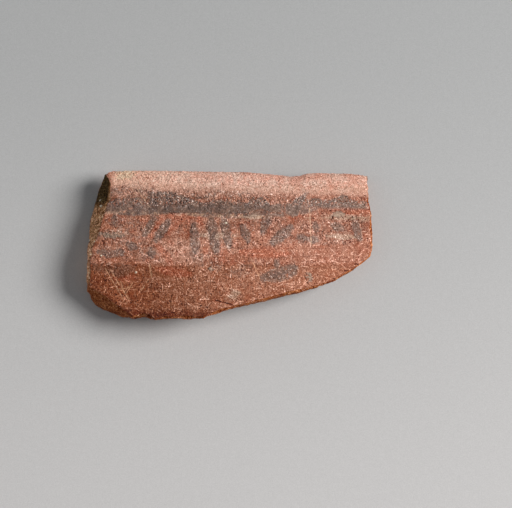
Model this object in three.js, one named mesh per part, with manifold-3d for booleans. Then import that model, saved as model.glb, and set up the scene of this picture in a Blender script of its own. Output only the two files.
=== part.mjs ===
// Pottery sherd: a piece of the rim of a coil-built terracotta bowl, with red slip and dark brush painting.
// It lies on its hollow side with the painted face up. Lengths are millimetres. +X runs along the rim,
// +Y points to the rim and +Z is up. The origin is on the ground under the middle of the sherd.

import * as THREE from 'three';
import { mergeVertices } from 'three/addons/utils/BufferGeometryUtils.js';
import Module from 'manifold-3d';

// The sherd, and the bowl that it broke from
const SHERD_WIDTH = 92;
const SHERD_HEIGHT = 48;
const BOWL_RADIUS = 140;
const WALL_THICKNESS = 8;

// The rim's section: a broad round outside the crest, a smaller one inside, and a shallow groove below
const LIP_HEIGHT_OUTSIDE = 6.3;
const LIP_HEIGHT_INSIDE = 4.6;
const LIP_DEPTH_OUTSIDE = 4.2;
const GROOVE_DEPTH = 0.65;

// The bowl closes in towards its rim, so the wall spreads on the way down. Below the ridge it spreads less.
const WALL_SPREAD = 10.6;
const LOWER_WALL_SET_IN = 3.9;
const INNER_WALL_SET_IN = 4;

// The joints between the coils slope up to the inside, and each keeps a hairline
const JOINT_SLOPE = 1.2;
const JOINT_GAP = 0.15;

// The broken faces swell a little between the two skins
const BREAK_SWELL = 0.5;

// Coats on the clay, and the hairline that stands for the bond under each
const SLIP_THICKNESS = 0.3;
const PAINT_THICKNESS = 0.2;
const LIME_THICKNESS = 0.35;
const SLIP_BOND = 0.1;
const PAINT_BOND = 0.15;
const INNER_SLIP_MARGIN = 4.5;

// Brush, crusts and grains
const BRUSH_WIDTH = 2.6;
const LIME_SPOT_WIDTH = 2.2;
const GRAIN_RADIUS = 0.55;
const GRAIN_CLEARANCE = 0.1;

// Depth of the small worn flats where the sherd stands on its edges
const FOOT_DEPTH = 0.35;
const CUT_OVERRUN = 20;

// Points closer than this are one point
const SAME_POINT = 1e-4;

// Heights on the wall, as shares of the sherd's height below the top of the rim
const grooveStartShare = 0.15;
const grooveFullShare = 0.215;
const ledgeFootShare = 0.268;
const ledgeTopShare = 0.297;
const ridgeShare = 0.6;
const ridgeSoftnessShare = 0.3;

// Crest of the rim, left to right: share of the width, share of the height below the top
const crestShares = [
  [0.06, 0.024], [0.07, 0.009], [0.085, 0.001], [0.22, 0], [0.4, 0.008], [0.57, 0.014], [0.66, 0.03],
  [0.712, 0.042], [0.746, 0.036], [0.768, 0.02], [0.8, 0.016], [0.93, 0.019], [0.981, 0.032],
];

// The broken edges of the outer skin, with the same two shares
const outerEdgeShares = {
  left: [
    [0.06, 0.024], [0.068, 0.046], [0.079, 0.09], [0.08, 0.142], [0.074, 0.19], [0.063, 0.23],
    [0.056, 0.28], [0.043, 0.356], [0.034, 0.43], [0.013, 0.516], [0.006, 0.6], [0.002, 0.7], [0.005, 0.798],
  ],
  right: [
    [0.981, 0.032], [0.985, 0.09], [0.988, 0.2], [0.997, 0.29], [1, 0.435], [0.998, 0.53], [0.995, 0.576],
  ],
  bottom: [
    [0.005, 0.798], [0.032, 0.811], [0.063, 0.854], [0.101, 0.901], [0.147, 0.966], [0.161, 0.989],
    [0.201, 0.964], [0.242, 1], [0.275, 0.989], [0.36, 0.992], [0.413, 0.983], [0.448, 0.961],
    [0.487, 0.932], [0.568, 0.889], [0.647, 0.858], [0.676, 0.836], [0.75, 0.809], [0.799, 0.783],
    [0.867, 0.739], [0.914, 0.684], [0.96, 0.633], [0.995, 0.576],
  ],
};

// The broken edges of the inner skin. On the left the break slopes outwards, so this edge shows beyond
// the outer one.
const innerEdgeShares = {
  left: [
    [0.06, 0.024], [0.041, 0.073], [0.03, 0.133], [0.02, 0.201], [0.01, 0.269], [0, 0.337],
    [-0.002, 0.413], [-0.003, 0.482], [-0.002, 0.595], [-0.001, 0.72], [0.003, 0.815],
  ],
  right: [
    [0.981, 0.032], [0.973, 0.09], [0.966, 0.2], [0.965, 0.3], [0.968, 0.45], [0.966, 0.53], [0.962, 0.585],
  ],
  bottom: [
    [0.003, 0.815], [0.008, 0.869], [0.024, 0.91], [0.053, 0.94], [0.092, 0.967], [0.124, 0.993], [0.242, 0.98],
    [0.36, 0.978], [0.45, 0.95], [0.57, 0.885], [0.68, 0.845], [0.8, 0.775], [0.88, 0.715],
    [0.93, 0.66], [0.962, 0.585],
  ],
};

// Height of each coil joint at the left and at the right end, outside
const jointShares = [[0.3, 0.3], [0.617, 0.53]];

// How the mesh divides each coil from its top to its bottom, and the row at which the slip begins
const COLUMNS = 30;
const coilRowShares = [
  [0, 0.012, 0.04, 0.09, 0.16, 0.24, 0.33, 0.42, 0.52, 0.62, 0.72, 0.81, 0.895, 0.945, 1],
  [0, 0.17, 0.34, 0.5, 0.67, 0.84, 1],
  [0, 0.13, 0.26, 0.4, 0.55, 0.7, 0.85, 1],
];
const FIRST_SLIPPED_ROW = 6;
const BREAK_LAYERS = 2;
const INNER_SLIP_STEP = 2;

// Surviving lengths of the rim band: share of the width, then the shares of the height at its two edges
const bandShares = {
  rim_band_left: [
    [0.066, 0.241, 0.281], [0.088, 0.24, 0.281], [0.104, 0.236, 0.28], [0.132, 0.2, 0.274],
    [0.17, 0.197, 0.24],
  ],
  rim_band_middle: [
    [0.214, 0.145, 0.3], [0.25, 0.141, 0.296], [0.29, 0.146, 0.291], [0.326, 0.166, 0.291],
    [0.364, 0.193, 0.29], [0.413, 0.226, 0.29], [0.441, 0.203, 0.291], [0.476, 0.204, 0.294],
    [0.518, 0.217, 0.294], [0.564, 0.217, 0.294], [0.578, 0.184, 0.28], [0.613, 0.181, 0.262],
    [0.641, 0.234, 0.29], [0.679, 0.227, 0.285],
  ],
  rim_band_blot: [
    [0.694, 0.228, 0.294], [0.718, 0.214, 0.314], [0.736, 0.194, 0.31], [0.748, 0.176, 0.26],
    [0.771, 0.137, 0.16],
  ],
  rim_band_right: [
    [0.781, 0.19, 0.244], [0.813, 0.19, 0.244], [0.834, 0.214, 0.254], [0.876, 0.187, 0.254],
    [0.897, 0.157, 0.254], [0.918, 0.194, 0.254], [0.949, 0.214, 0.257], [0.981, 0.217, 0.257],
  ],
  lower_band_left: [[0.025, 0.63, 0.664], [0.04, 0.628, 0.674], [0.06, 0.634, 0.682]],
  lower_band_right: [
    [0.077, 0.64, 0.657], [0.094, 0.643, 0.697], [0.112, 0.645, 0.724], [0.14, 0.647, 0.704],
    [0.166, 0.65, 0.677],
  ],
};

// Brush strokes below the band: start, end, and share of the brush's width
const strokeShares = [
  [[0.096, 0.311], [0.1, 0.365], 0.85],
  [[0.238, 0.324], [0.212, 0.422], 0.6],
  [[0.284, 0.348], [0.245, 0.449], 0.9],
  [[0.375, 0.375], [0.382, 0.543], 1],
  [[0.436, 0.328], [0.454, 0.543], 1.1],
  [[0.476, 0.308], [0.499, 0.509], 0.9],
  [[0.546, 0.381], [0.564, 0.472], 0.9],
  [[0.637, 0.308], [0.615, 0.412], 1],
  [[0.7145, 0.385], [0.6515, 0.4855], 1.1],
  [[0.739, 0.455], [0.764, 0.459], 0.85],
  [[0.778, 0.465], [0.802, 0.469], 0.85],
  [[0.7986, 0.361], [0.804, 0.408], 0.7],
  [[0.86, 0.368], [0.89, 0.395], 0.95],
  [[0.937, 0.3445], [0.9527, 0.462], 0.95],
  [[0.145, 0.499], [0.172, 0.5225], 0.9],
  [[0.098, 0.553], [0.1296, 0.546], 0.6],
  [[0.2277, 0.529], [0.2294, 0.576], 0.9],
  [[0.066, 0.562], [0.085, 0.576], 0.75],
  [[0.697, 0.65], [0.73, 0.658], 0.7],
  [[0.637, 0.715], [0.69, 0.712], 0.7],
  [[0.662, 0.612], [0.667, 0.655], 0.6],
];

// Crusts of lime from the soil: start, end, and share of a spot's width
const limeSpotShares = [
  [[0.045, 0.437], [0.13, 0.44], 1],
  [[0.865, 0.3], [0.898, 0.302], 1.1],
  [[0.926, 0.33], [0.945, 0.322], 0.7],
  [[0.425, 0.655], [0.448, 0.67], 0.6],
  [[0.774, 0.68], [0.779, 0.74], 0.8],
];

// Width along a brush stroke or a crust, from its start to its end
const strokeTaperShares = [0.55, 0.9, 1, 0.95, 0.6];
const STROKE_ROWS = 2;
const BAND_ROWS = 4;

// Temper grains in the outer face: the two shares, then the share of a grain's radius
const faceGrainShares = [[0.487, 0.358, 0.9], [0.052, 0.576, 1], [0.175, 0.686, 0.95]];

// Temper grains in the broken faces: side, height share, share of the wall's thickness, radius share
const breakGrainShares = [
  ['left', 0.2, 0.5, 1], ['left', 0.24, 0.3, 1.2], ['left', 0.47, 0.6, 1],
  ['right', 0.17, 0.45, 1.1], ['right', 0.4, 0.55, 0.9],
];
const grainSunkShare = 0.35;
const grainSquashShares = [1, 0.8, 0.7];

const wasm = await Module();
wasm.setup();

// Reads a line of points at a place: the values in column `at` lead, and those in column `give` are returned
function readLine(points, at, give, place) {
  const last = points.length - 1;
  if (place <= points[0][at]) return points[0][give];
  for (let n = 0; n < last; n += 1) {
    if (place <= points[n + 1][at]) {
      const part = (place - points[n][at]) / (points[n + 1][at] - points[n][at]);
      return THREE.MathUtils.lerp(points[n][give], points[n + 1][give], part);
    }
  }
  return points[last][give];
}

function widthPlace(share) {
  return (share - 1 / 2) * SHERD_WIDTH;
}

function crestDepth(x) {
  return readLine(crestShares, 0, 1, x / SHERD_WIDTH + 1 / 2) * SHERD_HEIGHT;
}

function edgeX(edge, down) {
  return widthPlace(readLine(edge, 1, 0, down / SHERD_HEIGHT));
}

// Quarter of an ellipse: 0 where the round ends on the wall, 1 at the crest
function lipFall(down, crest, height) {
  const rise = THREE.MathUtils.clamp((height - down) / (height - crest), 0, 1);
  return 1 - Math.sqrt(1 - rise * rise);
}

// Bowl radius of the outer face, or of a surface sunk under it, at a depth below the top of the rim
function outerRadius(down, crest, sunk) {
  const share = down / SHERD_HEIGHT;
  const groove = THREE.MathUtils.smoothstep(share, grooveStartShare, grooveFullShare)
    * (1 - THREE.MathUtils.smoothstep(share, ledgeFootShare, ledgeTopShare));
  const below = Math.max(0, (share - ridgeShare) / (1 - ridgeShare));
  const drawnIn = below < ridgeSoftnessShare
    ? below * below / (2 * ridgeSoftnessShare)
    : below - ridgeSoftnessShare / 2;
  return BOWL_RADIUS - sunk + WALL_SPREAD * share
    - (LIP_DEPTH_OUTSIDE - sunk) * lipFall(down, crest, LIP_HEIGHT_OUTSIDE)
    - GROOVE_DEPTH * groove
    - LOWER_WALL_SET_IN * drawnIn;
}

// Bowl radius of the inner face, or of a surface sunk under it
function innerRadius(down, crest, sunk) {
  const share = down / SHERD_HEIGHT;
  const lipDepthInside = WALL_THICKNESS - LIP_DEPTH_OUTSIDE;
  return BOWL_RADIUS - WALL_THICKNESS + sunk + WALL_SPREAD * share
    + (lipDepthInside - sunk) * lipFall(down, crest, LIP_HEIGHT_INSIDE)
    - INNER_WALL_SET_IN * share * share;
}

function bowlPoint(x, down, radius) {
  return new THREE.Vector3(x, -down, Math.sqrt(radius * radius - x * x) - BOWL_RADIUS);
}

function outerPoint(x, down, sunk) {
  return bowlPoint(x, down, outerRadius(down, crestDepth(x), sunk));
}

function innerPoint(x, down, sunk) {
  return bowlPoint(x, down, innerRadius(down, crestDepth(x), sunk));
}

// Depth of a coil's upper or lower bound at a column. Bound 0 is the crest, the last is the bottom break.
function boundDepth(edges, bound, column, slope) {
  const along = column / COLUMNS;
  if (bound === 0) {
    const x = THREE.MathUtils.lerp(widthPlace(crestShares[0][0]), widthPlace(crestShares.at(-1)[0]), along);
    return crestDepth(x);
  }
  if (bound > jointShares.length) {
    const x = THREE.MathUtils.lerp(edges.bottom[0][0], edges.bottom.at(-1)[0], along);
    return readLine(edges.bottom, 0, 1, x) * SHERD_HEIGHT;
  }
  const [atLeft, atRight] = jointShares[bound - 1];
  return THREE.MathUtils.lerp(atLeft, atRight, along) * SHERD_HEIGHT - slope;
}

// Place of one mesh corner on a skin: x along the rim and the depth below its top
function skinPlace(edges, coil, column, rowShare, slope, gap) {
  const depthAt = (at) => {
    const topGap = coil > 0 ? gap / 2 : 0;
    const bottomGap = coil < jointShares.length ? gap / 2 : 0;
    const top = boundDepth(edges, coil, at, slope) + topGap;
    const bottom = boundDepth(edges, coil + 1, at, slope) - bottomGap;
    return THREE.MathUtils.lerp(top, bottom, rowShare);
  };
  const left = edgeX(edges.left, depthAt(0));
  const right = edgeX(edges.right, depthAt(COLUMNS));
  return { x: THREE.MathUtils.lerp(left, right, column / COLUMNS), down: depthAt(column) };
}

// Closed solid around a block of points, counted by columns, rows and layers
function blockSolid(columns, rows, layers, pointAt) {
  const corners = [];
  const addSide = (across, along, cornerAt) => {
    for (let a = 0; a < across; a += 1) {
      for (let b = 0; b < along; b += 1) {
        const first = cornerAt(a, b);
        const opposite = cornerAt(a + 1, b + 1);
        corners.push(first, cornerAt(a + 1, b), opposite, first, opposite, cornerAt(a, b + 1));
      }
    }
  };
  addSide(rows, columns, (row, column) => pointAt(column, row, 0));
  addSide(columns, rows, (column, row) => pointAt(column, row, layers));
  addSide(layers, rows, (layer, row) => pointAt(0, row, layer));
  addSide(rows, layers, (row, layer) => pointAt(columns, row, layer));
  addSide(columns, layers, (column, layer) => pointAt(column, 0, layer));
  addSide(layers, columns, (layer, column) => pointAt(column, rows, layer));
  return closedGeometry(corners);
}

// Joins corners that share a place, and leaves out faces that have shrunk to a line
function closedGeometry(corners) {
  const joined = mergeVertices(new THREE.BufferGeometry().setFromPoints(corners), SAME_POINT);
  const index = joined.getIndex().array;
  const kept = [];
  for (let n = 0; n < index.length; n += 3) {
    const [a, b, c] = index.slice(n, n + 3);
    if (a !== b && b !== c && c !== a) kept.push(a, b, c);
  }
  joined.setIndex(kept);
  return joined;
}

function toSolid(geometry) {
  const bare = new THREE.BufferGeometry();
  bare.setAttribute('position', geometry.getAttribute('position').clone());
  if (geometry.getIndex()) bare.setIndex(geometry.getIndex().clone());
  const joined = mergeVertices(bare, SAME_POINT);
  return new wasm.Manifold(new wasm.Mesh({
    numProp: 3,
    vertProperties: new Float32Array(joined.getAttribute('position').array),
    triVerts: new Uint32Array(joined.getIndex().array),
  }));
}

function cutAway(geometry, cutters) {
  const solid = cutters.reduce((rest, cutter) => rest.subtract(toSolid(cutter)), toSolid(geometry));
  const mesh = solid.getMesh();
  const left = new THREE.BufferGeometry();
  left.setAttribute('position', new THREE.BufferAttribute(new Float32Array(mesh.vertProperties), 3));
  left.setIndex(Array.from(mesh.triVerts));
  return left;
}

// One coil of clay, from its upper to its lower joint and from one broken side to the other
function coilGeometry(coil) {
  const sunk = SLIP_THICKNESS + SLIP_BOND;
  const rows = coilRowShares[coil];
  const lastRow = rows.length - 1;
  const pointAt = (column, row, layer) => {
    const outside = skinPlace(outerEdgeShares, coil, column, rows[row], 0, JOINT_GAP);
    const outer = outerPoint(outside.x, outside.down, sunk);
    if (layer === 0 || (coil === 0 && row === 0)) return outer;
    const inside = skinPlace(innerEdgeShares, coil, column, rows[row], JOINT_SLOPE, JOINT_GAP);
    const point = outer.lerp(innerPoint(inside.x, inside.down, sunk), layer / BREAK_LAYERS);
    if (layer === BREAK_LAYERS) return point;
    if (column === 0) point.x -= BREAK_SWELL;
    if (column === COLUMNS) point.x += BREAK_SWELL;
    if (coil === jointShares.length && row === lastRow) point.y -= BREAK_SWELL;
    return point;
  };
  return blockSolid(COLUMNS, lastRow, BREAK_LAYERS, pointAt);
}

// The rows of a skin that runs over all three coils, each with its coil and its share of that coil
function skinRows(firstRow) {
  const rows = [];
  coilRowShares.forEach((shares, coil) => {
    shares.forEach((share, row) => {
      const starts = coil === 0 ? row >= firstRow : row > 0;
      if (starts) rows.push({ coil, share });
    });
  });
  return rows;
}

function outerSlipGeometry() {
  const rows = skinRows(FIRST_SLIPPED_ROW);
  return blockSolid(COLUMNS, rows.length - 1, 1, (column, row, layer) => {
    const place = skinPlace(outerEdgeShares, rows[row].coil, column, rows[row].share, 0, 0);
    return outerPoint(place.x, place.down, layer * SLIP_THICKNESS);
  });
}

// The inner coat is worn back from the broken edges, so it starts and ends short of them
function innerSlipGeometry() {
  const rows = skinRows(FIRST_SLIPPED_ROW).filter((row, n) => n % INNER_SLIP_STEP === 0);
  const lastRow = rows.length - 1;
  const narrowed = 1 - 2 * INNER_SLIP_MARGIN / SHERD_WIDTH;
  return blockSolid(COLUMNS / INNER_SLIP_STEP, lastRow, 1, (column, row, layer) => {
    const { coil, share } = rows[row];
    const place = skinPlace(innerEdgeShares, coil, column * INNER_SLIP_STEP, share, JOINT_SLOPE, 0);
    const shortened = THREE.MathUtils.lerp(1, 1 - INNER_SLIP_MARGIN / SHERD_HEIGHT, row / lastRow);
    return innerPoint(place.x * narrowed, place.down * shortened, (1 - layer) * SLIP_THICKNESS);
  });
}

// A coat laid on the outer face between two edge lines, each given as places [x, depth]
function coatGeometry(upperEdge, lowerEdge, rows, thickness) {
  return blockSolid(upperEdge.length - 1, rows, 1, (column, row, layer) => {
    const part = row / rows;
    const x = THREE.MathUtils.lerp(upperEdge[column][0], lowerEdge[column][0], part);
    const down = THREE.MathUtils.lerp(upperEdge[column][1], lowerEdge[column][1], part);
    return outerPoint(x, down, -PAINT_BOND - (1 - layer) * thickness);
  });
}

function bandGeometry(stations) {
  const upper = stations.map(([x, top]) => [widthPlace(x), top * SHERD_HEIGHT]);
  const lower = stations.map(([x, , bottom]) => [widthPlace(x), bottom * SHERD_HEIGHT]);
  return coatGeometry(upper, lower, BAND_ROWS, PAINT_THICKNESS);
}

// A stroke runs from start to end, and its two edges lie half a width to either side
function strokeGeometry([start, end, widthShare], width, thickness) {
  const from = new THREE.Vector2(widthPlace(start[0]), start[1] * SHERD_HEIGHT);
  const to = new THREE.Vector2(widthPlace(end[0]), end[1] * SHERD_HEIGHT);
  const side = to.clone().sub(from).normalize().rotateAround(new THREE.Vector2(), -Math.PI / 2);
  const edge = (sign) => strokeTaperShares.map((taper, n) => {
    const middle = from.clone().lerp(to, n / (strokeTaperShares.length - 1));
    return middle.addScaledVector(side, sign * taper * widthShare * width / 2).toArray();
  });
  return coatGeometry(edge(1), edge(-1), STROKE_ROWS, thickness);
}

// A grain is an uneven lump. Its pocket is the same lump, larger by the clearance.
function grainGeometry(radius, clearance, centre, turn) {
  const lump = new THREE.IcosahedronGeometry(radius, 1);
  lump.scale(...grainSquashShares.map((squash) => squash + clearance / radius));
  lump.rotateX(turn);
  lump.rotateY(2 * turn);
  return lump.translate(...centre.toArray());
}

function faceGrainCentre([xShare, downShare, radiusShare]) {
  const sunk = grainSunkShare * radiusShare * GRAIN_RADIUS;
  return outerPoint(widthPlace(xShare), downShare * SHERD_HEIGHT, sunk);
}

function breakGrainCentre([side, downShare, across, radiusShare]) {
  const sign = side === 'left' ? -1 : 1;
  const down = downShare * SHERD_HEIGHT;
  const outer = outerPoint(edgeX(outerEdgeShares[side], down), down, 0);
  const inner = innerPoint(edgeX(innerEdgeShares[side], down), down, 0);
  const point = outer.lerp(inner, across);
  const swell = BREAK_SWELL * (1 - Math.abs(2 * across - 1));
  point.x += sign * (swell - grainSunkShare * radiusShare * GRAIN_RADIUS);
  return point;
}

// Volume and centre of a closed mesh, summed over the pyramids between its faces and the origin
function weigh(geometry) {
  const position = geometry.getAttribute('position');
  const index = geometry.getIndex().array;
  const [a, b, c, normal] = [1, 2, 3, 4].map(() => new THREE.Vector3());
  const moment = new THREE.Vector3();
  let volume = 0;
  for (let n = 0; n < index.length; n += 3) {
    a.fromBufferAttribute(position, index[n]);
    b.fromBufferAttribute(position, index[n + 1]);
    c.fromBufferAttribute(position, index[n + 2]);
    const pyramid = a.dot(normal.crossVectors(b, c)) / 6;
    volume += pyramid;
    moment.addScaledVector(a.add(b).add(c), pyramid / 4);
  }
  return { volume, centre: moment.divideScalar(volume) };
}

// The inner broken edge, where the sherd can touch the ground
function lowestEdge() {
  const sunk = SLIP_THICKNESS + SLIP_BOND;
  const points = [];
  coilRowShares.forEach((rows, coil) => {
    for (const share of rows) {
      for (const column of [0, COLUMNS]) {
        const place = skinPlace(innerEdgeShares, coil, column, share, JOINT_SLOPE, JOINT_GAP);
        points.push(innerPoint(place.x, place.down, sunk));
      }
    }
  });
  for (let column = 1; column < COLUMNS; column += 1) {
    const place = skinPlace(innerEdgeShares, jointShares.length, column, 1, JOINT_SLOPE, JOINT_GAP);
    points.push(innerPoint(place.x, place.down, sunk));
  }
  return points;
}

// Ground plane through three of the points, with all the others above it and the weight between the three
function groundPlane(points, weight) {
  const plane = new THREE.Plane();
  const footprint = new THREE.Triangle();
  for (const a of points) {
    for (const b of points) {
      for (const c of points) {
        plane.setFromCoplanarPoints(a, b, c);
        const above = points.every((point) => plane.distanceToPoint(point) > -SAME_POINT);
        const upright = plane.normal.z > 0;
        if (upright && above && footprint.set(a, b, c).containsPoint(weight)) return plane;
      }
    }
  }
  return plane;
}

// Turns and places the sherd on the ground, with its lowest points sunk by the depth of the worn flats
function layingMatrix(coils) {
  const parts = coils.map(weigh);
  const total = parts.reduce((sum, part) => sum + part.volume, 0);
  const weight = new THREE.Vector3();
  parts.forEach((part) => weight.addScaledVector(part.centre, part.volume / total));
  const plane = groundPlane(lowestEdge(), weight);
  const turn = new THREE.Quaternion().setFromUnitVectors(plane.normal, new THREE.Vector3(0, 0, 1));
  const turned = new THREE.Matrix4().makeRotationFromQuaternion(turn);
  const box = new THREE.Box3();
  coils.forEach((coil) => box.union(new THREE.Box3().setFromBufferAttribute(
    coil.getAttribute('position').clone().applyMatrix4(turned),
  )));
  const middle = box.getCenter(new THREE.Vector3());
  return turned.setPosition(-middle.x, -middle.y, -box.min.z - FOOT_DEPTH);
}

// Everything under the ground, as a slab in the sherd's own frame
function groundSlab(laying) {
  const slab = new THREE.BoxGeometry(2 * SHERD_WIDTH, 2 * SHERD_HEIGHT, CUT_OVERRUN);
  slab.translate(0, 0, -CUT_OVERRUN / 2);
  return slab.applyMatrix4(laying.clone().invert());
}

const clay = new THREE.MeshStandardMaterial({ color: 0xc98f77, roughness: 0.92, metalness: 0 });
const redSlip = new THREE.MeshStandardMaterial({ color: 0xa8664d, roughness: 0.7, metalness: 0 });
const innerSlip = new THREE.MeshStandardMaterial({ color: 0xa9705a, roughness: 0.8, metalness: 0 });
const darkPaint = new THREE.MeshStandardMaterial({ color: 0x6b5a50, roughness: 0.75, metalness: 0 });
const lime = new THREE.MeshStandardMaterial({ color: 0xb9aca0, roughness: 0.95, metalness: 0 });
const quartz = new THREE.MeshStandardMaterial({ color: 0xe0d5c4, roughness: 0.5, metalness: 0 });

const sherd = new THREE.Group();

function addPiece(name, geometry, material) {
  const mesh = new THREE.Mesh(geometry, material);
  mesh.name = name;
  geometry.computeVertexNormals();
  sherd.add(mesh);
}

function numbered(name, n) {
  return `${name}_${String(n + 1).padStart(2, '0')}`;
}

// Grains first, because the clay and the coats keep a pocket for each
const grains = [
  ...faceGrainShares.map((grain) => ({ radius: grain[2] * GRAIN_RADIUS, centre: faceGrainCentre(grain) })),
  ...breakGrainShares.map((grain) => ({ radius: grain[3] * GRAIN_RADIUS, centre: breakGrainCentre(grain) })),
];
const pockets = grains.map(({ radius, centre }, n) => grainGeometry(radius, GRAIN_CLEARANCE, centre, n));

const coilNames = ['rim_coil', 'upper_wall_coil', 'lower_wall_coil'];
const coils = coilNames.map((name, coil) => coilGeometry(coil));
const laying = layingMatrix(coils);
const ground = groundSlab(laying);
coils.forEach((coil, n) => addPiece(coilNames[n], cutAway(coil, [ground, ...pockets]), clay));

addPiece('outer_slip', cutAway(outerSlipGeometry(), pockets), redSlip);
addPiece('inner_slip', cutAway(innerSlipGeometry(), pockets), innerSlip);

for (const [name, stations] of Object.entries(bandShares)) {
  addPiece(name, cutAway(bandGeometry(stations), pockets), darkPaint);
}
strokeShares.forEach((stroke, n) => {
  const geometry = strokeGeometry(stroke, BRUSH_WIDTH, PAINT_THICKNESS);
  addPiece(numbered('brush_stroke', n), cutAway(geometry, pockets), darkPaint);
});
limeSpotShares.forEach((spot, n) => {
  const geometry = strokeGeometry(spot, LIME_SPOT_WIDTH, LIME_THICKNESS);
  addPiece(numbered('lime_spot', n), cutAway(geometry, pockets), lime);
});
grains.forEach(({ radius, centre }, n) => {
  addPiece(numbered('temper_grain', n), grainGeometry(radius, 0, centre, n), quartz);
});

sherd.applyMatrix4(laying);
const group = new THREE.Group();
group.add(sherd);

export default group;
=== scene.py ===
# Pottery sherd: a broken piece of the rim of a coil-built terracotta bowl, with red slip and dark brush
# painting. It lies on its hollow side with the painted face up. Lengths are in metres.
import itertools
from functools import partial
from statistics import NormalDist

import bpy
import numpy as np
from mathutils import Matrix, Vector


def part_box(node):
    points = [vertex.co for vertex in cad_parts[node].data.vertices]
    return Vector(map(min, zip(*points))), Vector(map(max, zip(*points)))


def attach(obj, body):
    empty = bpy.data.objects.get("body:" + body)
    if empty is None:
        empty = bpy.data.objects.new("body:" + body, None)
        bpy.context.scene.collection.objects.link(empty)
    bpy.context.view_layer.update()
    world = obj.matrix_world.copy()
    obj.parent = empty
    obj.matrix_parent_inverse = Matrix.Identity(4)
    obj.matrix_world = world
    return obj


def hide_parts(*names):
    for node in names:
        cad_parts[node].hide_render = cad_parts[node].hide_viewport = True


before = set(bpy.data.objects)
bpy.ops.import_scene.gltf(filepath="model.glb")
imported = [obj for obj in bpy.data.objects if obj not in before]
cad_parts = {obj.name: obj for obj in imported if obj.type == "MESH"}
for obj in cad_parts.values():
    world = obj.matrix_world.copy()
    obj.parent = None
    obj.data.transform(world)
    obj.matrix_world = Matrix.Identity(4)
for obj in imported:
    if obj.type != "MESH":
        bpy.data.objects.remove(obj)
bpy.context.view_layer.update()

# The three coils of clay. A potter rolled them from terracotta clay with sand in it, laid one on the other,
# pinched them together and rounded the top one to the rim. The bowl later broke across them, so each ends
# in rough broken faces, and the worn rim shows bare gritty clay.
MM = 0.001
WIDTH = 92 * MM
HEIGHT = 48 * MM
BOWL_RADIUS = 140 * MM
WALL = 8 * MM
LIP_OUTSIDE = 6.3 * MM
LIP_INSIDE = 4.6 * MM
LIP_DEPTH = 4.2 * MM
GROOVE_DEPTH = 0.65 * MM
WALL_SPREAD = 10.6 * MM
LOWER_WALL_SET_IN = 3.9 * MM
INNER_WALL_SET_IN = 4 * MM
GROOVE_SHARES = (0.15, 0.215, 0.268, 0.297)
RIDGE_SHARE = 0.6
RIDGE_SOFTNESS = 0.3
JOINT_SHARES = ((0.3, 0.3), (0.617, 0.53))
JOINT_SLOPE = 1.2 * MM
JOINT_GAP = 0.04 * MM
BREAK_SWELL = 0.5 * MM
COAT_ALLOWANCE = 0.4 * MM
BARE_RIM = 5.6 * MM
CRUMB_RADIUS = 0.16 * MM
CRUMBS = 2.6 / MM / MM
CRUMB_TURNS = (6, 6, 6)
CRUMB_SCALES = ((0.4, 0.4, 0.4), (1.2, 1, 0.8))

# Each coil's name, the rows of its mesh, and how much closer they lie at its top
COILS = (("rim", 52, 1.7), ("upper_wall", 40, 1), ("lower_wall", 56, 1))
COLUMNS = 290
LAYERS = 24

# Dents, roughness and grit: height and size in millimetres, and a seed. Pits: depth, size, seed, and the
# heights of an uneven pattern where they begin and where they are full.
DENTS = ((0.1, 7, 1), (0.05, 2.6, 2))
DENTS_START = 6 * MM
RUBBED_EDGE = 0.55 * MM
BREAK_ROUGHNESS = ((0.3, 2.4, 41), (0.16, 0.9, 42), (0.07, 0.4, 43))
BREAK_PITS = ((0.35, 1.1, 44, 0.55, 0.8),)
RIM_GRIT = ((0.08, 0.6, 45), (0.05, 0.36, 46))
RIM_PITS = ((0.2, 0.7, 47, 0.55, 0.8),)
GRIT_ENDS = (4.4 * MM, 5.2 * MM)

# Colours of the rubbed rim and of the breaks: red, green and blue as a screen shows them
RIM_SALMON = (204, 146, 124)
RIM_PALE = (218, 178, 158)
# The foot colour is darker as painted shade. The colours at the left are lighter as painted light; the
# orange is partly the clay's own colour.
RIM_FOOT_SHADED = (184, 136, 112)
RIM_LEFT_LIT = (248, 194, 164)
RIM_ORANGE = (250, 164, 128)
RIM_BEIGE = (238, 204, 168)
RIM_RUST = (200, 122, 97)
BREAK_BROWN = (146, 74, 32)
BREAK_ORANGE = (174, 102, 56)
# The left break's colours are painted lighter than the other breaks', as painted light where that break lies
# in shade. Its core colour is partly painted shade.
LEFT_BREAK_LIT_DULL = (176, 122, 78)
LEFT_BREAK_LIT_LIGHT = (234, 174, 122)
LEFT_BREAK_LIT_PALE = (248, 186, 142)
LEFT_CORE_AND_SHADE = (84, 60, 24)
RIGHT_CORE = (116, 84, 64)

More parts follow.
